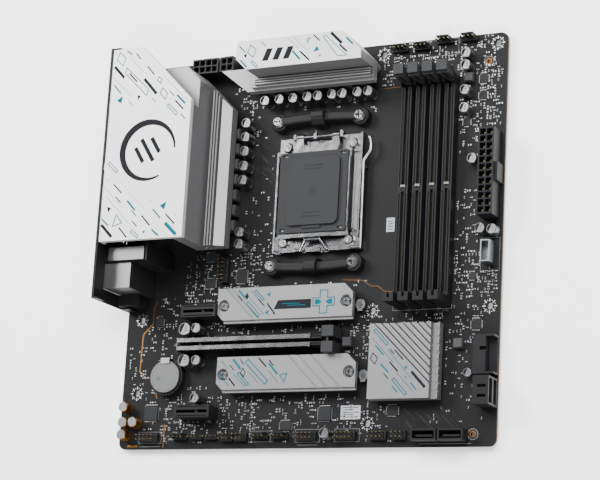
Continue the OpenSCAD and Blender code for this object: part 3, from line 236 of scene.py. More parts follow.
board_low, board_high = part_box("circuit_board")
board_top = board_high.z
skin = 0.0001
tan = (0.09, 0.055, 0.028)
edge_strips = [
    ((None, None, None), (board_low.x + skin, None, board_top - skin), tan, 0, 0.7),
    ((board_high.x - skin, None, None), (None, None, board_top - skin), tan, 0, 0.7),
    ((None, None, None), (None, board_low.y + skin, board_top - skin), tan, 0, 0.7),
    ((None, board_high.y - skin, None), (None, None, board_top - skin), tan, 0, 0.7)]
solder_mask = finish("solder_mask", (0.0048, 0.0049, 0.0053), 0, 0.5, grain=0.0009, tint=0.3,
                     swing=0.07, relief=0.00002, edge=0.00008, parts=edge_strips)
dress("circuit_board", solder_mask)


def on_board(x, up, over=0.0):
    """A place on the board: mm from the rear edge, mm up from the bottom edge, mm over the top face."""
    return Vector((board_low.x + x * MM, board_low.y + up * MM, board_top + over * MM))


def put_together(name, work, material):
    """Turns a finished bmesh into a piece with outward faces, at the origin."""
    bmesh.ops.recalc_face_normals(work, faces=work.faces)
    mesh = bpy.data.meshes.new(name)
    work.to_mesh(mesh)
    work.free()
    mesh.materials.append(material)
    piece = bpy.data.objects.new(name, mesh)
    bpy.context.scene.collection.objects.link(piece)
    return piece


def brick(work, middle, size, angle=0.0):
    """A small box about its middle, sizes in metres."""
    place = Matrix.Translation(middle) @ Matrix.Rotation(angle, 4, "Z")
    bmesh.ops.create_cube(work, size=1, matrix=place @ Matrix.Diagonal((*size, 1)))


def dash(work, x0, up0, x1, up1, width, over):
    """A printed stroke from one place to another, as a flat face."""
    start = on_board(x0, up0, over)
    end = on_board(x1, up1, over)
    run = end - start
    place = Matrix.Translation((start + end) / 2) @ Matrix.Rotation(math.atan2(run.y, run.x), 4, "Z")
    bmesh.ops.create_grid(work, x_segments=1, y_segments=1, size=0.5,
                          matrix=place @ Matrix.Diagonal((run.length, width * MM, 1, 1)))


def patch(work, corners, over):
    """A printed area with straight sides."""
    return work.faces.new([work.verts.new(on_board(x, up, over)) for x, up in corners])


def loop(work, corners, line, over):
    """A printed outline: the area inset by the line's width, with its middle taken out."""
    area = patch(work, corners, over)
    area.normal_update()
    bmesh.ops.inset_region(work, faces=[area], thickness=line * MM, use_boundary=True,
                           use_even_offset=True)
    bmesh.ops.delete(work, geom=[area], context="FACES")


def thicken(work, height):
    """Gives flat printed faces the thickness of the ink."""
    grown = bmesh.ops.extrude_face_region(work, geom=work.faces[:], use_keep_orig=True)
    top = [v for v in grown["geom"] if isinstance(v, bmesh.types.BMVert)]
    bmesh.ops.translate(work, verts=top, vec=(0, 0, height * MM))


# ---- Plating and print on the board ----
# Round each mounting hole tinned dashes and small vias take a screw head's pressure down to ground.
# Two tooling holes have bare copper rings. Audio copper shows as a gold line, and the legend is white.

hole_places = [(165.1, 237.49), (237.49, 237.49), (10.16, 214.63), (10.16, 80.01), (165.1, 80.01),
               (237.49, 80.01), (10.16, 34.29), (165.1, 13.97)]
tin = finish("hot_tin", (0.42, 0.425, 0.43), 1, 0.34, grain=0.0003, swing=0.1, edge=0)
print_lift = 0.01
ray_count, ray_inner, ray_outer, ray_width = 8, 2.6, 4.4, 0.62
via_reach, via_radius = 3.5, 0.28
star_work = bmesh.new()
for x, up in hole_places:
    for step in range(ray_count):
        angle = math.tau * step / ray_count
        reach = Vector((math.cos(angle), math.sin(angle)))
        dash(star_work, x + reach.x * ray_inner, up + reach.y * ray_inner,
             x + reach.x * ray_outer, up + reach.y * ray_outer, ray_width, print_lift)
        angle += math.tau / ray_count / 2
        via = on_board(x + math.cos(angle) * via_reach, up + math.sin(angle) * via_reach, print_lift)
        bmesh.ops.create_circle(star_work, cap_ends=True, segments=10, radius=via_radius * MM,
                                matrix=Matrix.Translation(via))
thicken(star_work, 0.035)
stars = put_together("ground_stars", star_work, tin)
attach(stars, "board")


def ring(work, centre, inner, outer, segments=32):
    """A flat ring: a short radial edge spun once round, its seam closed."""
    near = work.verts.new(centre + Vector((inner * MM, 0, 0)))
    far = work.verts.new(centre + Vector((outer * MM, 0, 0)))
    radial = work.edges.new((near, far))
    bmesh.ops.spin(work, geom=[near, far, radial], cent=centre, axis=(0, 0, 1), angle=math.tau,
                   steps=segments, use_merge=True)


copper = finish("bare_copper", (0.17, 0.08, 0.022), 1, 0.4, grain=0.0004, edge=0)
gold_line_work = bmesh.new()
tooling_places = ((232.2, 226.74), (229.9, 7))
for x, up in tooling_places:
    ring(gold_line_work, on_board(x, up, print_lift), 1.25, 2.0)
audio_width = 0.75
audio_line = [(20, 92), (18, 86), (18, 77.5), (11.5, 71), (11, 48), (15, 43.8), (18.5, 43.8)]
for (x0, up0), (x1, up1) in zip(audio_line, audio_line[1:]):
    dash(gold_line_work, x0, up0, x1, up1, audio_width, print_lift)
dash(gold_line_work, 31, 15, 31, 1, audio_width, print_lift)
dash(gold_line_work, 22, 37, 24.5, 31, 0.6, print_lift)
dash(gold_line_work, 6, 2, 13, 2, 1.1, print_lift)
feeder_width = 0.22
feeder = [(145, 99.5), (158, 98.6), (163, 95), (168, 94.6), (172, 91.4), (177, 91)]
for (x0, up0), (x1, up1) in zip(feeder, feeder[1:]):
    dash(gold_line_work, x0, up0, x1, up1, feeder_width, print_lift)
dash(gold_line_work, 163, 215.8, 177, 216.2, feeder_width, print_lift)
thicken(gold_line_work, 0.02)
gold_lines = put_together("audio_copper", gold_line_work, copper)
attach(gold_lines, "board")

streak_ink = finish("grey_streaks", (0.014, 0.0145, 0.016), 0, 0.4, grain=0.0008)
streak_work = bmesh.new()
pick = random.Random(11)
for corner_x, corner_up, count, span in ((84, 158, 26, 30), (186, 6, 20, 34)):
    for _ in range(count):
        x = corner_x + pick.random() * span
        up = corner_up + pick.random() * span * (1.2 if corner_x == 84 else 0.5)
        length = 3 + pick.random() * 9
        dash(streak_work, x, up, x + length * 0.71, up - length * 0.71, 0.3 + pick.random() * 0.5,
             print_lift)
thicken(streak_work, 0.012)
streaks = put_together("mask_streaks", streak_work, streak_ink)
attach(streaks, "board")

legend_ink = finish("legend_ink", (0.14, 0.145, 0.155), 0, 0.6, grain=0.0003)
legend_work = bmesh.new()
loop(legend_work, [(177.8, 79.5), (214.5, 79.5), (214.5, 82), (177.8, 82)], 0.22, print_lift)
for x, up in tooling_places:
    ring(legend_work, on_board(x, up, 0.012), 2.9, 3.2)
for x0, up0, x1, up1 in ((197.5, 1.8, 229, 1.8), (14.5, 1.6, 29, 1.6), (121, 1.8, 134, 1.8)):
    dash(legend_work, x0, up0, x1, up1, 0.22, print_lift)
header_frames = [(13.6, 10.6, 29.6, 3.6), (90.6, 10.4, 103.4, 3.8), (119.4, 11, 135.4, 3.4),
                 (144.6, 11, 160.6, 3.4), (231, 120, 242.6, 100.4), (194.6, 233, 213, 243.2)]
for x0, top, x1, bottom in header_frames:
    loop(legend_work, [(x0, bottom), (x1, bottom), (x1, top), (x0, top)], 0.2, print_lift)
thicken(legend_work, 0.015)
legend = put_together("white_legend", legend_work, legend_ink)
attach(legend, "board")

label_paper = finish("label_paper", (0.24, 0.25, 0.27), 0, 0.55, grain=0.0005)
label_work = bmesh.new()
for x0, up0, x1, up1 in ((171.5, 127, 176.7, 135.5), (148, 16.5, 160.5, 24.5)):
    patch(label_work, [(x0, up0), (x1, up0), (x1, up1), (x0, up1)], 0.02)
thicken(label_work, 0.08)
labels = put_together("paper_labels", label_work, label_paper)
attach(labels, "board")
bar_ink = finish("label_bars", (0.03, 0.032, 0.036), 0, 0.6, grain=0.0005)
bar_work = bmesh.new()
for row in range(5):
    dash(bar_work, 149.2, 17.8 + row * 1.4, 159.2 - (row % 2) * 3, 17.8 + row * 1.4, 0.5, 0.105)
for row in range(4):
    dash(bar_work, 172.4, 128.6 + row * 1.6, 175.8, 128.6 + row * 1.6, 0.6, 0.105)
thicken(bar_work, 0.012)
bars = put_together("label_bars", bar_work, bar_ink)
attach(bars, "board")

# ---- Backplate, socket and cooler brackets ----
# A stamped steel backplate takes the screws from above. The socket is a nickel-plated steel frame with
# a hinged load plate and a bent wire lever, round a black contact housing under its moulded cap.

plated_steel = finish("plated_steel", (0.2, 0.202, 0.207), 1, 0.24, grain=0.0005, tint=0.05,
                      swing=0.06, relief=0, edge=0, stretch=(1, 0.15, 1), wave=0.00012)
dark_steel = finish("dark_steel", (0.16, 0.162, 0.168), 1, 0.42, grain=0.0005, edge=0)
chrome_screw = finish("chrome_screw", (0.42, 0.415, 0.405), 1, 0.18, grain=0.0003, relief=0,
                      edge=0)
black_moulding = finish("black_moulding", (0.0085, 0.0087, 0.0092), 0, 0.48, grain=0.0005, tint=0.15,
                        relief=0.000012, edge=0.00015)
socket_land = finish("socket_land", (0.42, 0.3, 0.12), 1, 0.3, grain=0.0004)
cap_moulding = finish("cap_moulding", (0.016, 0.0164, 0.0172), 0, 0.55, grain=0.00035, tint=0.2,
                      relief=0.00003, edge=0.0003)
dress("cooler_backplate", dark_steel)
dress("drive_clip_upper", dark_steel)
dress("drive_clip_lower", dark_steel)
for steel_part in ("socket_frame", "load_plate", "socket_lever", "graphics_sleeve"):
    dress(steel_part, plated_steel)
for screw_part in ("socket_screws", "cooler_screws"):
    dress(screw_part, chrome_screw)
dress("socket_body", black_moulding)


def sweep(work, rings):
    """A closed skin over a run of rings, each a list of as many places."""
    made = [[work.verts.new(place) for place in around] for around in rings]
    for near, far in zip(made, made[1:]):
        for here in range(len(near)):
            after = (here + 1) % len(near)
            work.faces.new((near[here], near[after], far[after], far[here]))
    work.faces.new(made[0][::-1])
    work.faces.new(made[-1])


def rounded(width, height, corner, steps=4):
    """A cross-section's outline: flat foot, upright sides, rounded shoulders."""
    outline = [(-width / 2, 0), (width / 2, 0)]
    for side, start in ((1, 0), (-1, math.pi / 2)):
        for step in range(steps + 1):
            angle = start + step * math.pi / 2 / steps
            outline.append((side * (width / 2 - corner) + corner * math.cos(angle),
                            height - corner + corner * math.sin(angle)))
    return outline


# Each bracket is one nylon moulding: two round bosses, a bowed arm, and a strap over its middle that
# the cooler's spring clip hooks on to.
boss_radius = 0.0055
boss_profile = [(1, 0), (1, 0.0045), (0.95, 0.0052), (0.84, 0.0056)]
boss_reach = 0.027
boss_facets = 40
arm_width, arm_height, arm_corner, arm_bow = 0.0056, 0.0066, 0.0014, 0.0014
strap_width, strap_corner = 0.0084, 0.0011
arm_stations = 18
strap_profile = [(-0.0038, 0.0068), (-0.0030, 0.0076), (-0.0012, 0.0090), (0.0010, 0.0097),
                 (0.0034, 0.0096), (0.0045, 0.0086), (0.0049, 0.0066)]
for which, outward in (("upper", 1), ("lower", -1)):
    bracket_low, bracket_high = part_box(f"cooler_bracket_{which}")
    middle_x = (bracket_low.x + bracket_high.x) / 2
    boss_y = (bracket_low.y if outward > 0 else bracket_high.y) + outward * boss_radius
    bracket_work = bmesh.new()
    for side in (-1, 1):
        turns = [math.tau * step / boss_facets for step in range(boss_facets)]
        boss_x = middle_x + side * boss_reach
        sweep(bracket_work, [[Vector((boss_x + boss_radius * grow * math.cos(turn),
                                      boss_y + boss_radius * grow * math.sin(turn), board_top + high))
                              for turn in turns] for grow, high in boss_profile])
    arm = []
    for station in range(arm_stations + 1):
        reach = 2 * station / arm_stations - 1
        bowed_y = boss_y + outward * arm_bow * (1 - reach * reach)
        arm.append([Vector((middle_x + reach * boss_reach, bowed_y + across, board_top + high))
                    for across, high in rounded(arm_width, arm_height, arm_corner)])
    sweep(bracket_work, arm)
    sweep(bracket_work, [[Vector((middle_x + across, boss_y + outward * along, board_top + high))
                          for across, high in rounded(strap_width, top, strap_corner)]
                         for along, top in strap_profile])
    bracket_piece = put_together(f"bracket_{which}_moulding", bracket_work, black_moulding)
    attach(bracket_piece, "board")
    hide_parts(f"cooler_bracket_{which}")

dress("socket_contacts", socket_land)
dress("socket_cap", cap_moulding)

cap_low, cap_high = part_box("socket_cap")
cap_middle = Vector(((cap_low.x + cap_high.x) / 2 + 0.0004, (cap_low.y + cap_high.y) / 2 + 0.0004,
                     cap_high.z))
boss_work = bmesh.new()
ring(boss_work, cap_middle + Vector((0, 0, -0.00002)), 2.2, 2.7, 40)
ring(boss_work, cap_middle + Vector((0, 0, -0.00002)), 0.5, 1.0, 24)
for sign in (-1, 1):
    for inset in (13.5, 15.8):
        middle = cap_middle + Vector((0, sign * inset * MM, -0.00002))
        bmesh.ops.create_grid(boss_work, x_segments=1, y_segments=1, size=0.5,
                              matrix=Matrix.Translation(middle) @ Matrix.Diagonal((0.012, 0.0005, 1, 1)))
thicken(boss_work, 0.16)
cap_bosses = put_together("cap_bosses", boss_work, cap_moulding)
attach(cap_bosses, "socket_cap")

# ---- Memory slots ----
# Black nylon slots with a rib of small teeth along both sides of the slit, one key, and a grey latch
# that swings out at the top end.

slot_moulding = finish("slot_moulding", (0.0085, 0.0087, 0.0094), 0, 0.42, grain=0.0005, tint=0.15,
                       relief=0.00001, edge=0.00015)
latch_moulding = finish("latch_moulding", (0.021, 0.0214, 0.0226), 0, 0.5, grain=0.0004, tint=0.15,
                        relief=0.00002, edge=0.0002)
contact_gold = finish("contact_gold", (0.4, 0.27, 0.1), 1, 0.3, grain=0.0004)
# The slot contacts are gold, but this nearly black tone is painted shade for contacts deep in the slits.
spring_gold_painted_shade = finish("spring_gold_painted_shade", (0.03, 0.024, 0.013), 1, 0.5, grain=0.0004)
# The pins are gold, but their dark tone is painted shade for pins deep in the socket cells.
pin_gold_painted_shade = finish("pin_gold_painted_shade", (0.12, 0.1, 0.06), 1, 0.4, grain=0.0004)
tooth_count, first_tooth, tooth_pitch, tooth_reach = 126, 0.0085, 0.00095, 0.0014
tooth_size = (0.0008, 0.0005, 0.00022)
key_place, key_size = 0.0718, (0.0030, 0.0013, 0.0008)
tooth_work = bmesh.new()
key_work = bmesh.new()
for number in range(1, 5):
    dress(f"dimm_slot_{number}", slot_moulding)
    dress(f"dimm_latch_{number}", latch_moulding)
    slot_low, slot_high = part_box(f"dimm_slot_{number}")
    middle_x = (slot_low.x + slot_high.x) / 2
    body_top = board_top + 0.007
    for side in (-1, 1):
        for tooth in range(tooth_count):
            along = slot_low.y + first_tooth + tooth * tooth_pitch
            brick(tooth_work, (middle_x + side * tooth_reach, along, body_top + 0.00006), tooth_size)
    brick(key_work, (middle_x, slot_low.y + key_place, body_top - 0.0001), key_size)
teeth = put_together("memory_slot_teeth", tooth_work, slot_moulding)
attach(teeth, "board")
# The keys are real, but their light grey in the black moulding is a painted highlight of the key notch.
key_painted_highlight = finish("key_painted_highlight", (0.14, 0.135, 0.13), 0, 0.45, grain=0.0004)
keys = put_together("memory_slot_keys", key_work, key_painted_highlight)
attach(keys, "board")

# ---- Card slots ----
# Moulded black slots soldered to the board; the long one wears a stamped steel sleeve and ends in a
# grey latch with two wings.

for black_part in ("graphics_slot", "short_slots", "drive_sockets"):
    dress(black_part, slot_moulding)
dress("graphics_latch", latch_moulding)
# The contacts' dark colour is painted shade of the slits.
dress("slot_contacts", spring_gold_painted_shade)

# ---- Heatsinks ----
# Extruded and milled aluminium. The tops are sand-blasted and coated silver white. The ribbed walls are
# a darker, more metallic grey with a coarse blasted grain; the darker grey is painted shade on the walls
# that face the front, away from the strongest lamp.

blasted_white = finish("blasted_white", (0.5, 0.502, 0.506), 0.35, 0.46, grain=0.00045, tint=0.13,
                       swing=0.06, relief=0.00002, edge=0.00025)
blasted_silver = finish("blasted_silver", (0.15, 0.151, 0.154), 0.55, 0.44, grain=0.00045,
                        tint=0.16, swing=0.06, relief=0.00002, edge=0.0003)
# The rib walls' coarse grain is real, but their darker grey than the white tops is painted shade.
blasted_rib_painted_shade = finish("blasted_rib_painted_shade", (0.19, 0.191, 0.194), 0.7, 0.48, grain=0.0007, tint=0.3,
                     swing=0.08, relief=0.00003, edge=0.0002)
heatsink_screw = finish("heatsink_screw", (0.11, 0.112, 0.116), 1, 0.36, grain=0.0003)
dress("rear_cover", blasted_white)
upper_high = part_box("upper_heatsink")[1]
# Below its top face the upper heatsink is a darker, more metallic grey: painted shade on its walls, with
# the top left white.
upper_white_shaded_walls = finish("upper_white_shaded_walls", (0.42, 0.422, 0.426), 0.35, 0.46, grain=0.00045, tint=0.13,
                     swing=0.06, relief=0.00002, edge=0.00025, parts=[
                         ((None, None, None), (None, None, upper_high.z - 0.0003),
                          (0.2, 0.201, 0.204), 0.6, 0.46)])
dress("upper_heatsink", upper_white_shaded_walls)
for silver_part in ("drive_heatsink_upper", "drive_heatsink_lower", "chipset_heatsink"):
    dress(silver_part, blasted_silver)
dress("rear_heatsink", blasted_rib_painted_shade)
for screw_part in ("heatsink_screws", "drive_screws", "drive_standoffs"):
    dress(screw_part, heatsink_screw)

ferrite = finish("ferrite", (0.035, 0.0355, 0.037), 0.15, 0.5, grain=0.0004, tint=0.2)
silicone = finish("silicone_pad", (0.16, 0.165, 0.175), 0, 0.8, grain=0.0006)
epoxy = finish("chip_epoxy", (0.012, 0.0124, 0.0132), 0, 0.42, grain=0.0003, tint=0.2, relief=0.00001)
carrier = finish("chipset_carrier", (0.05, 0.12, 0.07), 0, 0.35, grain=0.0005)
dress("power_coils", ferrite)
dress("thermal_pads", silicone)
dress("power_stages", epoxy)
dress("chips", epoxy)
dress("chipset", carrier)

# ---- Printed marks on the heatsinks ----
# Teal and dark ink, screen printed: slanted dashes, bars, diamonds and triangles that all run down
# to the front at 45 degrees, and one plain round emblem.

teal_ink = finish("teal_ink", (0.0, 0.075, 0.1), 0, 0.9, grain=0.0004, tint=0.06, specular=0.02)
dark_ink = finish("dark_ink", (0.012, 0.0125, 0.014), 0, 0.9, grain=0.0004, tint=0.08, specular=0.02)
cover_z, vrm_z, drive_z, chipset_z = 42.5, 33, 9, 10
ink_lift = 0.01


def slanted_bar(work, x0, up0, x1, up1, width, line, over):
    """A long printed outline with slanted ends."""
    run = Vector((x1 - x0, up1 - up0)).normalized()
    side = Vector((-run.y, run.x)) * width / 2
    corners = [(x0 + side.x, up0 + side.y), (x0 - side.x, up0 - side.y),
               (x1 - side.x, up1 - side.y), (x1 + side.x, up1 + side.y)]
    loop(work, corners, line, over)


cover_teal = bmesh.new()
over = cover_z + ink_lift
loop(cover_teal, [(5, 241.6), (10, 237), (8, 231.5), (3, 236)], 0.6, over)
loop(cover_teal, [(34, 223), (37, 220.5), (36, 217.5), (33, 220)], 0.6, over)
loop(cover_teal, [(10.5, 231), (28, 215), (26.5, 210.5), (10, 226.5)], 0.6, over)
loop(cover_teal, [(11.5, 137), (16.5, 131), (9, 129)], 0.6, over)
for x0, up0, x1, up1, width in (
        (10, 241.6, 14, 238.5, 0.9), (2.5, 220, 8, 214, 0.9), (48, 209.5, 54, 203.5, 1.3),
        (14, 208.5, 17.5, 205, 0.5), (30, 209.5, 33.5, 206, 0.5), (18.5, 145, 24.5, 138.5, 1.2),
        (22, 139, 25.5, 135, 0.8), (1.4, 134.6, 6.5, 130, 1), (37, 138.5, 42.5, 132.5, 1),
        (37, 126, 42, 121.8, 1.2), (46, 129.5, 54, 121.8, 2.2), (37, 223, 57, 204, 0.25),
        (1.2, 155, 16, 140, 0.25)):
    dash(cover_teal, x0, up0, x1, up1, width, over)
for x0, up0, x1, up1, width in ((42, 204, 49, 197, 2.2), (3, 170, 10, 163.5, 2.2),
                                (22.5, 126, 28, 121.8, 2.2)):
    slanted_bar(cover_teal, x0, up0, x1, up1, width, 0.6, over)
for corners in ([(5.5, 209.5), (9.5, 212.4), (8.9, 207.3)], [(41.5, 140.5), (46, 142.6), (44.7, 137.6)],
                [(30.6, 124.8), (32.8, 126), (32.2, 123.6)]):
    patch(cover_teal, corners, over)
for x, up in ((25, 225.3), (43.5, 207.3), (4, 158.7), (34.5, 143.8), (53, 134)):
    patch(cover_teal, [(x - 0.4, up - 0.4), (x + 0.4, up - 0.4), (x + 0.4, up + 0.4),
                       (x - 0.4, up + 0.4)], over)
thicken(cover_teal, 0.03)
cover_teal_marks = put_together("cover_marks_teal", cover_teal, teal_ink)
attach(cover_teal_marks, "board")

cover_dark = bmesh.new()
loop(cover_dark, [(37.5, 215.5), (41.5, 211), (40, 207), (35.5, 211.5)], 0.6, over)
for x0, up0, x1, up1, width in (
        (17, 239, 20.5, 235, 0.8), (2, 232, 9.5, 224, 1.8), (13, 226.5, 19, 220.5, 1),
        (25.5, 230, 31, 224, 0.9), (24, 222, 33.5, 211.5, 1.9), (42.5, 212.5, 46, 209, 0.7),
        (47, 206, 53, 200, 1.1), (51.5, 197, 55, 193.5, 0.7), (8, 156, 14, 150, 0.9),
        (10, 148, 14, 144, 0.8), (1.4, 131, 9.5, 122.8, 1.9), (14, 128.5, 20, 122, 1),
        (23, 132, 26.5, 128.5, 0.8), (29.5, 135, 35.5, 128.5, 1), (46, 135, 52.5, 128.5, 1),
        (13, 236.5, 22.5, 227, 0.28), (1.2, 225, 15.5, 212, 0.28), (3, 149, 22, 129.5, 0.28)):
    dash(cover_dark, x0, up0, x1, up1, width, over)
for corners in ([(20, 212), (22.4, 211), (20.6, 208.4)], [(4.6, 142), (7.6, 141), (5.6, 138.2)]):
    patch(cover_dark, corners, over)

# The emblem: a plain open ring that swells to one side, and three slanted bars inside it.
emblem_x, emblem_up, emblem_r = 30, 176, 18.5
emblem_centre = on_board(emblem_x, emblem_up, over)
near = cover_dark.verts.new(emblem_centre + Vector((emblem_r * MM, 0, 0)))
far = cover_dark.verts.new(emblem_centre + Vector(((emblem_r + 1) * MM, 0, 0)))
spoke = cover_dark.edges.new((near, far))
ring_before = set(cover_dark.verts) - {near, far}
emblem_sweep = math.radians(300)
bmesh.ops.spin(cover_dark, geom=[near, far, spoke], cent=emblem_centre, axis=(0, 0, 1),
               angle=emblem_sweep, steps=60)
for vert in set(cover_dark.verts) - ring_before:
    arm = vert.co - emblem_centre
    turn = math.atan2(arm.y, arm.x) % math.tau
    swell = 3.4 * max(0, math.sin(min(turn / emblem_sweep, 1) * math.pi))
    if arm.length < (emblem_r + 0.5) * MM:
        vert.co = emblem_centre + arm.normalized() * (emblem_r - swell) * MM
for offset, half in ((-5.5, 6), (0, 9), (5.5, 6)):
    dash(cover_dark, emblem_x + offset - half * 0.5, emblem_up + half * 0.8 + offset * 0.5,
         emblem_x + offset + half * 0.5, emblem_up - half * 0.8 + offset * 0.5, 2.6, over)
thicken(cover_dark, 0.03)
cover_dark_marks = put_together("cover_marks_dark", cover_dark, dark_ink)
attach(cover_dark_marks, "board")

# The upper heatsink has the same marks in one row, with three plain slanted bars as its emblem.
over = vrm_z + ink_lift
vrm_teal = bmesh.new()
loop(vrm_teal, [(91, 240.6), (95.4, 237), (93.4, 231.6), (89, 235.4)], 0.6, over)
loop(vrm_teal, [(128.4, 240.4), (131.6, 240.9), (129.4, 236.9)], 0.6, over)
loop(vrm_teal, [(139.4, 240.2), (141, 241.6), (156, 227), (149.6, 227)], 0.5, over)
for x0, up0, x1, up1, width in ((84.6, 231.2, 89.6, 226, 1), (98.4, 241.4, 101.6, 238.2, 0.6),
                                (119.6, 233.4, 125, 227.6, 1.2), (154.6, 238.4, 159.2, 233.8, 1.1),
                                (120, 242, 131, 231, 0.28)):
    dash(vrm_teal, x0, up0, x1, up1, width, over)
slanted_bar(vrm_teal, 92.4, 229.4, 96.6, 225.6, 1.9, 0.55, over)
for corners in ([(133.6, 231.4), (137.4, 232.2), (135.6, 235.2)],
                [(137, 228), (138.8, 228.3), (138, 229.8)]):
    patch(vrm_teal, corners, over)
thicken(vrm_teal, 0.03)
vrm_teal_marks = put_together("upper_marks_teal", vrm_teal, teal_ink)
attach(vrm_teal_marks, "board")
vrm_dark = bmesh.new()
for x0, up0, x1, up1, width in ((83.4, 240, 87.6, 236, 0.7), (124.6, 232.8, 131, 226.6, 1.1),
                                (133, 242.2, 137.6, 238, 0.9), (144.6, 242.4, 152, 235, 1.8),
                                (150.4, 234.4, 155.6, 229.4, 1.1), (116, 242, 123.4, 234.8, 0.28),
                                (83, 229.4, 88, 225.2, 0.28)):
    dash(vrm_dark, x0, up0, x1, up1, width, over)
patch(vrm_dark, [(86.6, 233.8), (89.2, 234.9), (88.4, 232)], over)
for shift in (0, 7, 14):
    patch(vrm_dark, [(99.4 + shift, 229), (103.4 + shift, 229), (106.4 + shift, 236.6),
                     (102.4 + shift, 236.6)], over)
thicken(vrm_dark, 0.03)
vrm_dark_marks = put_together("upper_marks_dark", vrm_dark, dark_ink)
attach(vrm_dark_marks, "board")

# The drive heatsinks: marks at the rear end, and on the upper one a dark banner with a teal plus.
over = drive_z + ink_lift
drive_teal = bmesh.new()
for x0, up0, x1, up1, width in ((81, 94, 85.4, 89.2, 1.1), (89.4, 93.4, 99, 83.2, 0.4),
                                (72, 51.6, 76.6, 46.8, 0.4), (80, 52.2, 85.4, 46, 1.2),
                                (73.6, 40.4, 78, 36.2, 0.45), (80.4, 43.6, 89, 35.6, 0.45),
                                (104, 49, 110, 42.4, 1.1), (70.4, 45, 74, 41.4, 0.4)):
    dash(drive_teal, x0, up0, x1, up1, width, over)
slanted_bar(drive_teal, 92, 93.4, 98, 87.2, 2, 0.6, over)
slanted_bar(drive_teal, 87, 86.4, 95.4, 77.6, 2.2, 0.5, over)
slanted_bar(drive_teal, 83.6, 44, 91, 36.2, 2, 0.6, over)
slanted_bar(drive_teal, 89, 51, 103, 37.4, 3.4, 0.65, over)
loop(drive_teal, [(111, 42), (116.6, 43), (114.6, 37.2)], 0.55, over)
for corners in ([(100, 90.6), (102.4, 92), (102, 89.2)], [(99.2, 79.8), (101.8, 81.2), (101.2, 78.2)]):
    patch(drive_teal, corners, over)
plus_x, plus_up = 137.5, 84.8
arm, half_arm = 7.2, 2.7
plus = [(-half_arm, arm), (half_arm, arm), (half_arm, half_arm), (arm, half_arm), (arm, -half_arm),
        (half_arm, -half_arm), (half_arm, -arm), (-half_arm, -arm), (-half_arm, -half_arm),
        (-arm, -half_arm), (-arm, half_arm), (-half_arm, half_arm)]
loop(drive_teal, [(plus_x + x, plus_up + up) for x, up in plus], 0.6, over)
for sign in (-1, 1):
    patch(drive_teal, [(plus_x + sign * 1.2, plus_up), (plus_x + sign * 3.2, plus_up + 1.5),
                       (plus_x + sign * 5.6, plus_up + 1.5), (plus_x + sign * 5.6, plus_up - 1.5),
                       (plus_x + sign * 3.2, plus_up - 1.5)], over)
banner_up = 84
for x0, x1, shift in ((110, 122, 0.6), (114, 126, -0.6)):
    dash(drive_teal, x0, banner_up + shift, x1, banner_up + shift, 0.45, over + 0.04)
thicken(drive_teal, 0.03)
drive_teal_marks = put_together("drive_marks_teal", drive_teal, teal_ink)
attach(drive_teal_marks, "board")
drive_dark = bmesh.new()
patch(drive_dark, [(105, 81.4), (107.6, 86.8), (129.4, 86.8), (129.4, 81.4)], over)
patch(drive_dark, [(86.6, 92.4), (88, 90), (86.8, 87.6), (85.4, 90)], over)
loop(drive_dark, [(86.8, 47), (89, 44), (87.6, 40.8), (85.2, 43.8)], 0.55, over)
for x0, up0, x1, up1, width in ((80.6, 90.8, 83.6, 87.4, 0.6), (94.4, 88, 98.4, 84, 0.7),
                                (100.6, 85.2, 106, 78.4, 0.9), (89, 88.6, 99, 78.4, 0.25),
                                (78, 48.6, 81, 45.4, 0.6), (77.8, 40.8, 82.2, 36, 1),
                                (84.6, 52, 87.4, 49, 0.6), (97, 52.4, 102.4, 47, 0.9),
                                (104, 51, 107.2, 47.4, 0.7), (91, 44, 98, 37, 0.25),
                                (104, 44.8, 110.6, 37.2, 0.25)):
    dash(drive_dark, x0, up0, x1, up1, width, over)
thicken(drive_dark, 0.03)
drive_dark_marks = put_together("drive_marks_dark", drive_dark, dark_ink)
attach(drive_dark_marks, "board")

# The chipset heatsink: marks on its flat lower half.
over = chipset_z + ink_lift
chip_teal = bmesh.new()
slanted_bar(chip_teal, 171.4, 66.8, 180, 57.6, 2.2, 0.6, over)
slanted_bar(chip_teal, 184, 37.8, 192.6, 28.4, 2.2, 0.6, over)
for x0, up0, x1, up1, width in ((172.4, 57.4, 177.8, 51.6, 0.9), (176, 46.6, 181.4, 41.2, 0.9),
                                (183.6, 33.6, 187.2, 29.8, 0.8), (195, 35.4, 198.6, 31.2, 0.8),
                                (180, 55.2, 195.4, 37.6, 0.4)):
    dash(chip_teal, x0, up0, x1, up1, width, over)
for corners in ([(190.6, 44.4), (193, 45), (192, 42.6)], [(191.2, 38.6), (192.6, 39.2), (192, 37.6)]):
    patch(chip_teal, corners, over)
thicken(chip_teal, 0.03)
chip_teal_marks = put_together("chipset_marks_teal", chip_teal, teal_ink)
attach(chip_teal_marks, "board")
chip_dark = bmesh.new()
loop(chip_dark, [(171, 53.6), (174.4, 50), (172.6, 46), (169.2, 49.6)], 0.55, over)
for x0, up0, x1, up1, width in ((181.6, 55, 184.2, 52, 0.6), (184.6, 54.4, 190, 48.6, 0.8),
                                (181.6, 47.6, 187, 41.8, 0.9), (178.2, 41, 181.2, 37.8, 0.6),
                                (195.4, 41.6, 204, 32.4, 1.7), (170, 62, 184, 47, 0.25),
                                (186, 41.6, 197.4, 29.6, 0.25)):
    dash(chip_dark, x0, up0, x1, up1, width, over)
thicken(chip_dark, 0.03)
chip_dark_marks = put_together("chipset_marks_dark", chip_dark, dark_ink)
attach(chip_dark_marks, "board")

# ---- Rear ports ----
# A black powder-coated plate with folded tinned-steel shells behind it. The radio card stands in its
# black holder with a silver label on top, and gold-plated posts take the aerials.

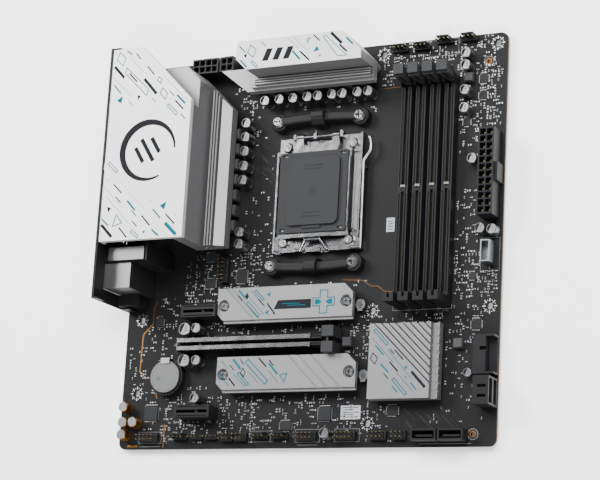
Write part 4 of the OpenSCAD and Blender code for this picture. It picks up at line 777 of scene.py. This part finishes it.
port_tin = finish("port_tin", (0.16, 0.162, 0.165), 1, 0.38, grain=0.0005, tint=0.08, edge=0)
powder = finish("powder_coat", (0.008, 0.0082, 0.0087), 0, 0.5, grain=0.0003, relief=0.00003)
radio_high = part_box("radio_module")[1]
radio_case = finish("radio_case", (0.0085, 0.0087, 0.0092), 0, 0.5, grain=0.0005, parts=[
    ((None, None, radio_high.z - 0.0029), (radio_high.x - 0.0013, None, None),
     (0.15, 0.152, 0.155), 1, 0.36)])
button_moulding = finish("button_moulding", (0.021, 0.0214, 0.0226), 0, 0.45, grain=0.0004)
for tin_part in ("display_ports", "usb_stacks", "lan_port"):
    dress(tin_part, port_tin)
dress("rear_plate", powder)
dress("aerial_posts", contact_gold)
dress("radio_module", radio_case)
dress("flash_button", button_moulding)
for black_part in ("audio_jacks", "optical_port", "button_switch"):
    dress(black_part, slot_moulding)

# ---- Power, USB and drive sockets, headers ----
# Black nylon housings with gold or tin pins. The upright front USB socket has a folded steel shell.

front_moulding = finish("front_moulding", (0.0085, 0.0087, 0.0094), 0, 0.45, grain=0.0005, parts=[
    ((None, 0.0, None), (None, None, None), (0.2, 0.222, 0.226), 1, 0.36)])
dress("front_usb_sockets", front_moulding)
for black_part in ("power_sockets", "sata_sockets", "header_bases"):
    dress(black_part, slot_moulding)
# The pins' dark gold is partly painted shade of the socket cells.
dress("connector_pins", pin_gold_painted_shade)

# ---- Battery ----
# A nickel-plated button cell in a black moulded holder with a sprung steel finger over its edge. A plus
# sign and a ring are pressed into its face.

cell_low, cell_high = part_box("battery_cell")
cell_nickel = finish("cell_nickel", (0.11, 0.111, 0.113), 1, 0.4, grain=0.0003, tint=0.06,
                     relief=0.000004, edge=0)
holder_moulding = finish("holder_moulding", (0.0085, 0.0087, 0.0092), 0, 0.45, grain=0.0005, parts=[
    ((None, None, cell_high.z - 0.0001), (None, None, None), (0.3, 0.304, 0.308), 1, 0.3)])
dress("battery_cell", cell_nickel)
dress("battery_holder", holder_moulding)
cell_middle = Vector(((cell_low.x + cell_high.x) / 2, (cell_low.y + cell_high.y) / 2, cell_high.z))
stamp_work = bmesh.new()
stamp_sink = 0.00001
ring(stamp_work, cell_middle - Vector((0, 0, stamp_sink)), 8.3, 8.5, 64)
for size in ((0.0032, 0.0006), (0.0006, 0.0032)):
    middle = cell_middle + Vector((-0.0042, -0.0012, 0.00002))
    brick(stamp_work, middle, (*size, 0.00005))
stamp_work.normal_update()
flat_faces = [f for f in stamp_work.faces
              if abs(f.calc_center_median().z - cell_high.z + stamp_sink) < 1e-7]
grown = bmesh.ops.extrude_face_region(stamp_work, geom=flat_faces, use_keep_orig=True)
bmesh.ops.translate(stamp_work, verts=[v for v in grown["geom"] if isinstance(v, bmesh.types.BMVert)],
                    vec=(0, 0, 0.00005))
stamp_metal = finish("stamped_nickel", (0.07, 0.071, 0.073), 1, 0.45, grain=0.0003)
stamp = put_together("cell_stamp", stamp_work, stamp_metal)
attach(stamp, "board")

# ---- Capacitors ----
# Polymer cans of bare aluminium; each has dark ink on its top, a half-moon that marks the lead and
# three short bars.
# The four audio cans are wrapped in gold film.

audio_edge_x = 0.0058
audio_edge_y = -0.046
can_metal = finish("can_metal", (0.24, 0.242, 0.246), 1, 0.3, grain=0.0004, tint=0.05,
                   relief=0.000001, edge=0, parts=[
                       ((None, None, None), (audio_edge_x, audio_edge_y, board_top + 0.0074),
                        (0.36, 0.17, 0.035), 1, 0.3)])
dress("capacitors", can_metal)


def solids_of(node):
    """The lowest and highest corner of each separate solid in a CAD node."""
    work = bmesh.new()
    work.from_mesh(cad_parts[node].data)
    bmesh.ops.remove_doubles(work, verts=work.verts, dist=0.000002)
    seen = set()
    boxes = []
    for first in work.verts:
        if first in seen:
            continue
        seen.add(first)
        pile = [first]
        low = first.co.copy()
        high = first.co.copy()
        while pile:
            vert = pile.pop()
            low = Vector(map(min, low, vert.co))
            high = Vector(map(max, high, vert.co))
            for side in vert.link_edges:
                beyond = side.other_vert(vert)
                if beyond not in seen:
                    seen.add(beyond)
                    pile.append(beyond)
        boxes.append((low, high))
    work.free()
    return boxes


moon_work = bmesh.new()
for low, high in solids_of("capacitors"):
    if high.x < audio_edge_x and high.y < audio_edge_y + 0.004:
        continue
    radius = (high.x - low.x) / 2 - 0.0006
    centre = Vector(((low.x + high.x) / 2, (low.y + high.y) / 2, high.z + 0.00001))
    made = bmesh.ops.create_circle(moon_work, cap_ends=True, segments=28, radius=radius,
                                   matrix=Matrix.Translation(centre))
    faces = {f for v in made["verts"] for f in v.link_faces}
    geometry = list(made["verts"]) + list(faces) + list({e for f in faces for e in f.edges})
    bmesh.ops.bisect_plane(moon_work, geom=geometry, plane_co=centre + Vector((-radius * 0.3, 0, 0)),
                           plane_no=(1, -0.4, 0), clear_outer=True)
    for row in (-0.35, 0.1, 0.5):
        start = centre + Vector((radius * 0.05, row * radius, 0))
        bmesh.ops.create_grid(moon_work, x_segments=1, y_segments=1, size=0.5,
                              matrix=Matrix.Translation(start + Vector((radius * 0.3, 0, 0)))
                              @ Matrix.Diagonal((radius * 0.6, radius * 0.13, 1, 1)))
thicken(moon_work, 0.02)
moons = put_together("capacitor_marks", moon_work, dark_ink)
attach(moons, "board")

# ---- Chip legs ----
# Tinned legs along all four sides of each flat package, soldered to pads, and a dot beside pin one.

leg_pitch, leg_width, leg_length, leg_height, leg_reach = 0.0007, 0.00034, 0.0007, 0.0002, 0.00022
leg_margin, first_leg = 0.0008, 0.0006
leg_work = bmesh.new()
dot_work = bmesh.new()
for low, high in solids_of("chips"):
    middle = (low + high) / 2
    width, depth = high.x - low.x, high.y - low.y
    for side in (-1, 1):
        for step in range(int((width - leg_margin) / leg_pitch)):
            x = low.x + first_leg + step * leg_pitch
            brick(leg_work, (x, middle.y + side * (depth / 2 + leg_reach), board_top + leg_height / 2),
                  (leg_width, leg_length, leg_height))
        for step in range(int((depth - leg_margin) / leg_pitch)):
            y = low.y + first_leg + step * leg_pitch
            brick(leg_work, (middle.x + side * (width / 2 + leg_reach), y, board_top + leg_height / 2),
                  (leg_length, leg_width, leg_height))
    bmesh.ops.create_circle(dot_work, cap_ends=True, segments=16, radius=0.0003,
                            matrix=Matrix.Translation((low.x + 0.0009, high.y - 0.0009,
                                                       high.z + 0.00001)))
legs = put_together("chip_legs", leg_work, tin)
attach(legs, "board")
thicken(dot_work, 0.015)
dots = put_together("chip_dots", dot_work, legend_ink)
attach(dots, "board")

# ---- Small parts ----
# Hundreds of chip resistors and capacitors: a ceramic body with a tinned cap at each end, soldered
# in rows and clusters wherever the board is bare.


def cast_tree(nodes):
    """A tree to cast rays on, from the CAD nodes named."""
    corners = []
    faces = []
    for name in nodes:
        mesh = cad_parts[name].data
        start = len(corners)
        corners.extend(v.co.copy() for v in mesh.vertices)
        faces.extend([start + i for i in polygon.vertices] for polygon in mesh.polygons)
    return BVHTree.FromPolygons(corners, faces)


above_board = cast_tree([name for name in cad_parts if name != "circuit_board"])
bare_board = cast_tree(["circuit_board"])
down = Vector((0, 0, -1))


def is_bare(middle, half_x, half_y):
    """True where the board's top face shows at the footprint's middle and corners."""
    for x, y in ((0, 0), (-half_x, -half_y), (-half_x, half_y), (half_x, -half_y), (half_x, half_y)):
        probe = Vector((middle.x + x, middle.y + y, 0.08))
        struck = above_board.ray_cast(probe, down)[0]
        if struck is not None and struck.z > board_top + 0.00005:
            return False
        face = bare_board.ray_cast(probe, down)[0]
        if face is None or abs(face.z - board_top) > 0.00001:
            return False
    return True


# Each cluster: rear x, lower edge, front x, upper edge, in mm, and how full it is.
clusters = [(66, 187, 84, 226, 0.5), (75, 203, 166, 214, 0.16), (166, 218, 236, 243, 0.75),
            (214, 186, 242, 226, 0.85), (214, 168, 230, 186, 0.35), (216, 118, 230, 150, 0.6),
            (214, 86, 242, 116, 0.75), (208, 60, 234, 82, 0.6), (206, 42, 226, 62, 0.4),
            (204, 10, 236, 42, 0.22), (164, 62, 210, 79, 0.45), (130, 4, 182, 36, 0.45),
            (90, 4, 132, 34, 0.42), (30, 6, 92, 32, 0.5), (4, 40, 34, 64, 0.42), (17, 4, 60, 38, 0.5),
            (14, 62, 68, 76, 0.34), (24, 74, 64, 96, 0.5), (40, 94, 92, 124, 0.62),
            (70, 112, 100, 134, 0.3), (146, 52, 168, 78, 0.6), (62, 70, 150, 76, 0.3),
            (100, 96, 160, 100, 0.3), (78, 126, 96, 196, 0.13), (100, 190, 156, 197, 0.1)]
part_sizes = [(1.0, 0.5, 0.35), (1.0, 0.5, 0.5), (1.6, 0.8, 0.45), (2.0, 1.25, 0.8)]
black_ceramic = finish("black_ceramic", (0.012, 0.012, 0.0135), 0, 0.45, grain=0.0002)
tan_ceramic = finish("tan_ceramic", (0.06, 0.043, 0.03), 0, 0.5, grain=0.0002)
black_bodies = bmesh.new()
tan_bodies = bmesh.new()
end_caps = bmesh.new()
pads = bmesh.new()
chance = random.Random(7)
thinning = 0.62
spacing = 2.05
plated_clearance = 0.0052
keep_off = [on_board(x, up) for x, up in hole_places]
taken = []
for x0, up0, x1, up1, fullness in clusters:
    x = x0
    while x < x1:
        up = up0
        while up < up1:
            roll = chance.random()
            shape = chance.choice(part_sizes[:3] if roll < 0.92 * fullness else part_sizes)
            turned = chance.random() < 0.5
            jitter = (chance.random() - 0.5) * 0.5, (chance.random() - 0.5) * 0.5
            ceramic = chance.random()
            if roll < fullness * thinning:
                length, width, height = (size * MM for size in shape)
                middle = on_board(x + jitter[0], up + jitter[1])
                half_x, half_y = (width / 2, length / 2) if turned else (length / 2, width / 2)
                clear = all((middle - hole).length > plated_clearance for hole in keep_off)
                clash = any(abs(middle.x - other.x) < half_x + reach_x + 0.0002
                            and abs(middle.y - other.y) < half_y + reach_y + 0.0002
                            for other, reach_x, reach_y in taken[-90:])
                if clear and not clash and is_bare(middle, half_x + 0.0004, half_y + 0.0004):
                    taken.append((middle, half_x, half_y))
                    angle = math.pi / 2 if turned else 0
                    along = Vector((0, 1, 0)) if turned else Vector((1, 0, 0))
                    bodies = tan_bodies if ceramic < 0.4 else black_bodies
                    lift = Vector((0, 0, height / 2))
                    brick(bodies, middle + lift, (length * 0.62, width * 0.96, height * 0.96), angle)
                    for end in (-1, 1):
                        brick(end_caps, middle + lift + along * end * length * 0.4,
                              (length * 0.22, width, height), angle)
                        brick(pads, middle + along * end * length * 0.5 + Vector((0, 0, 0.00002)),
                              (length * 0.34, width * 1.15, 0.00004), angle)
            up += spacing
        x += spacing
for name, work, material, slot in (("resistor_bodies", black_bodies, black_ceramic, "chip_epoxy"),
                                   ("ceramic_bodies", tan_bodies, tan_ceramic, "chip_epoxy"),
                                   ("end_caps", end_caps, tin, "port_shell"),
                                   ("solder_pads", pads, tin, "port_shell")):
    small_piece = put_together(name, work, material)
    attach(small_piece, "board")
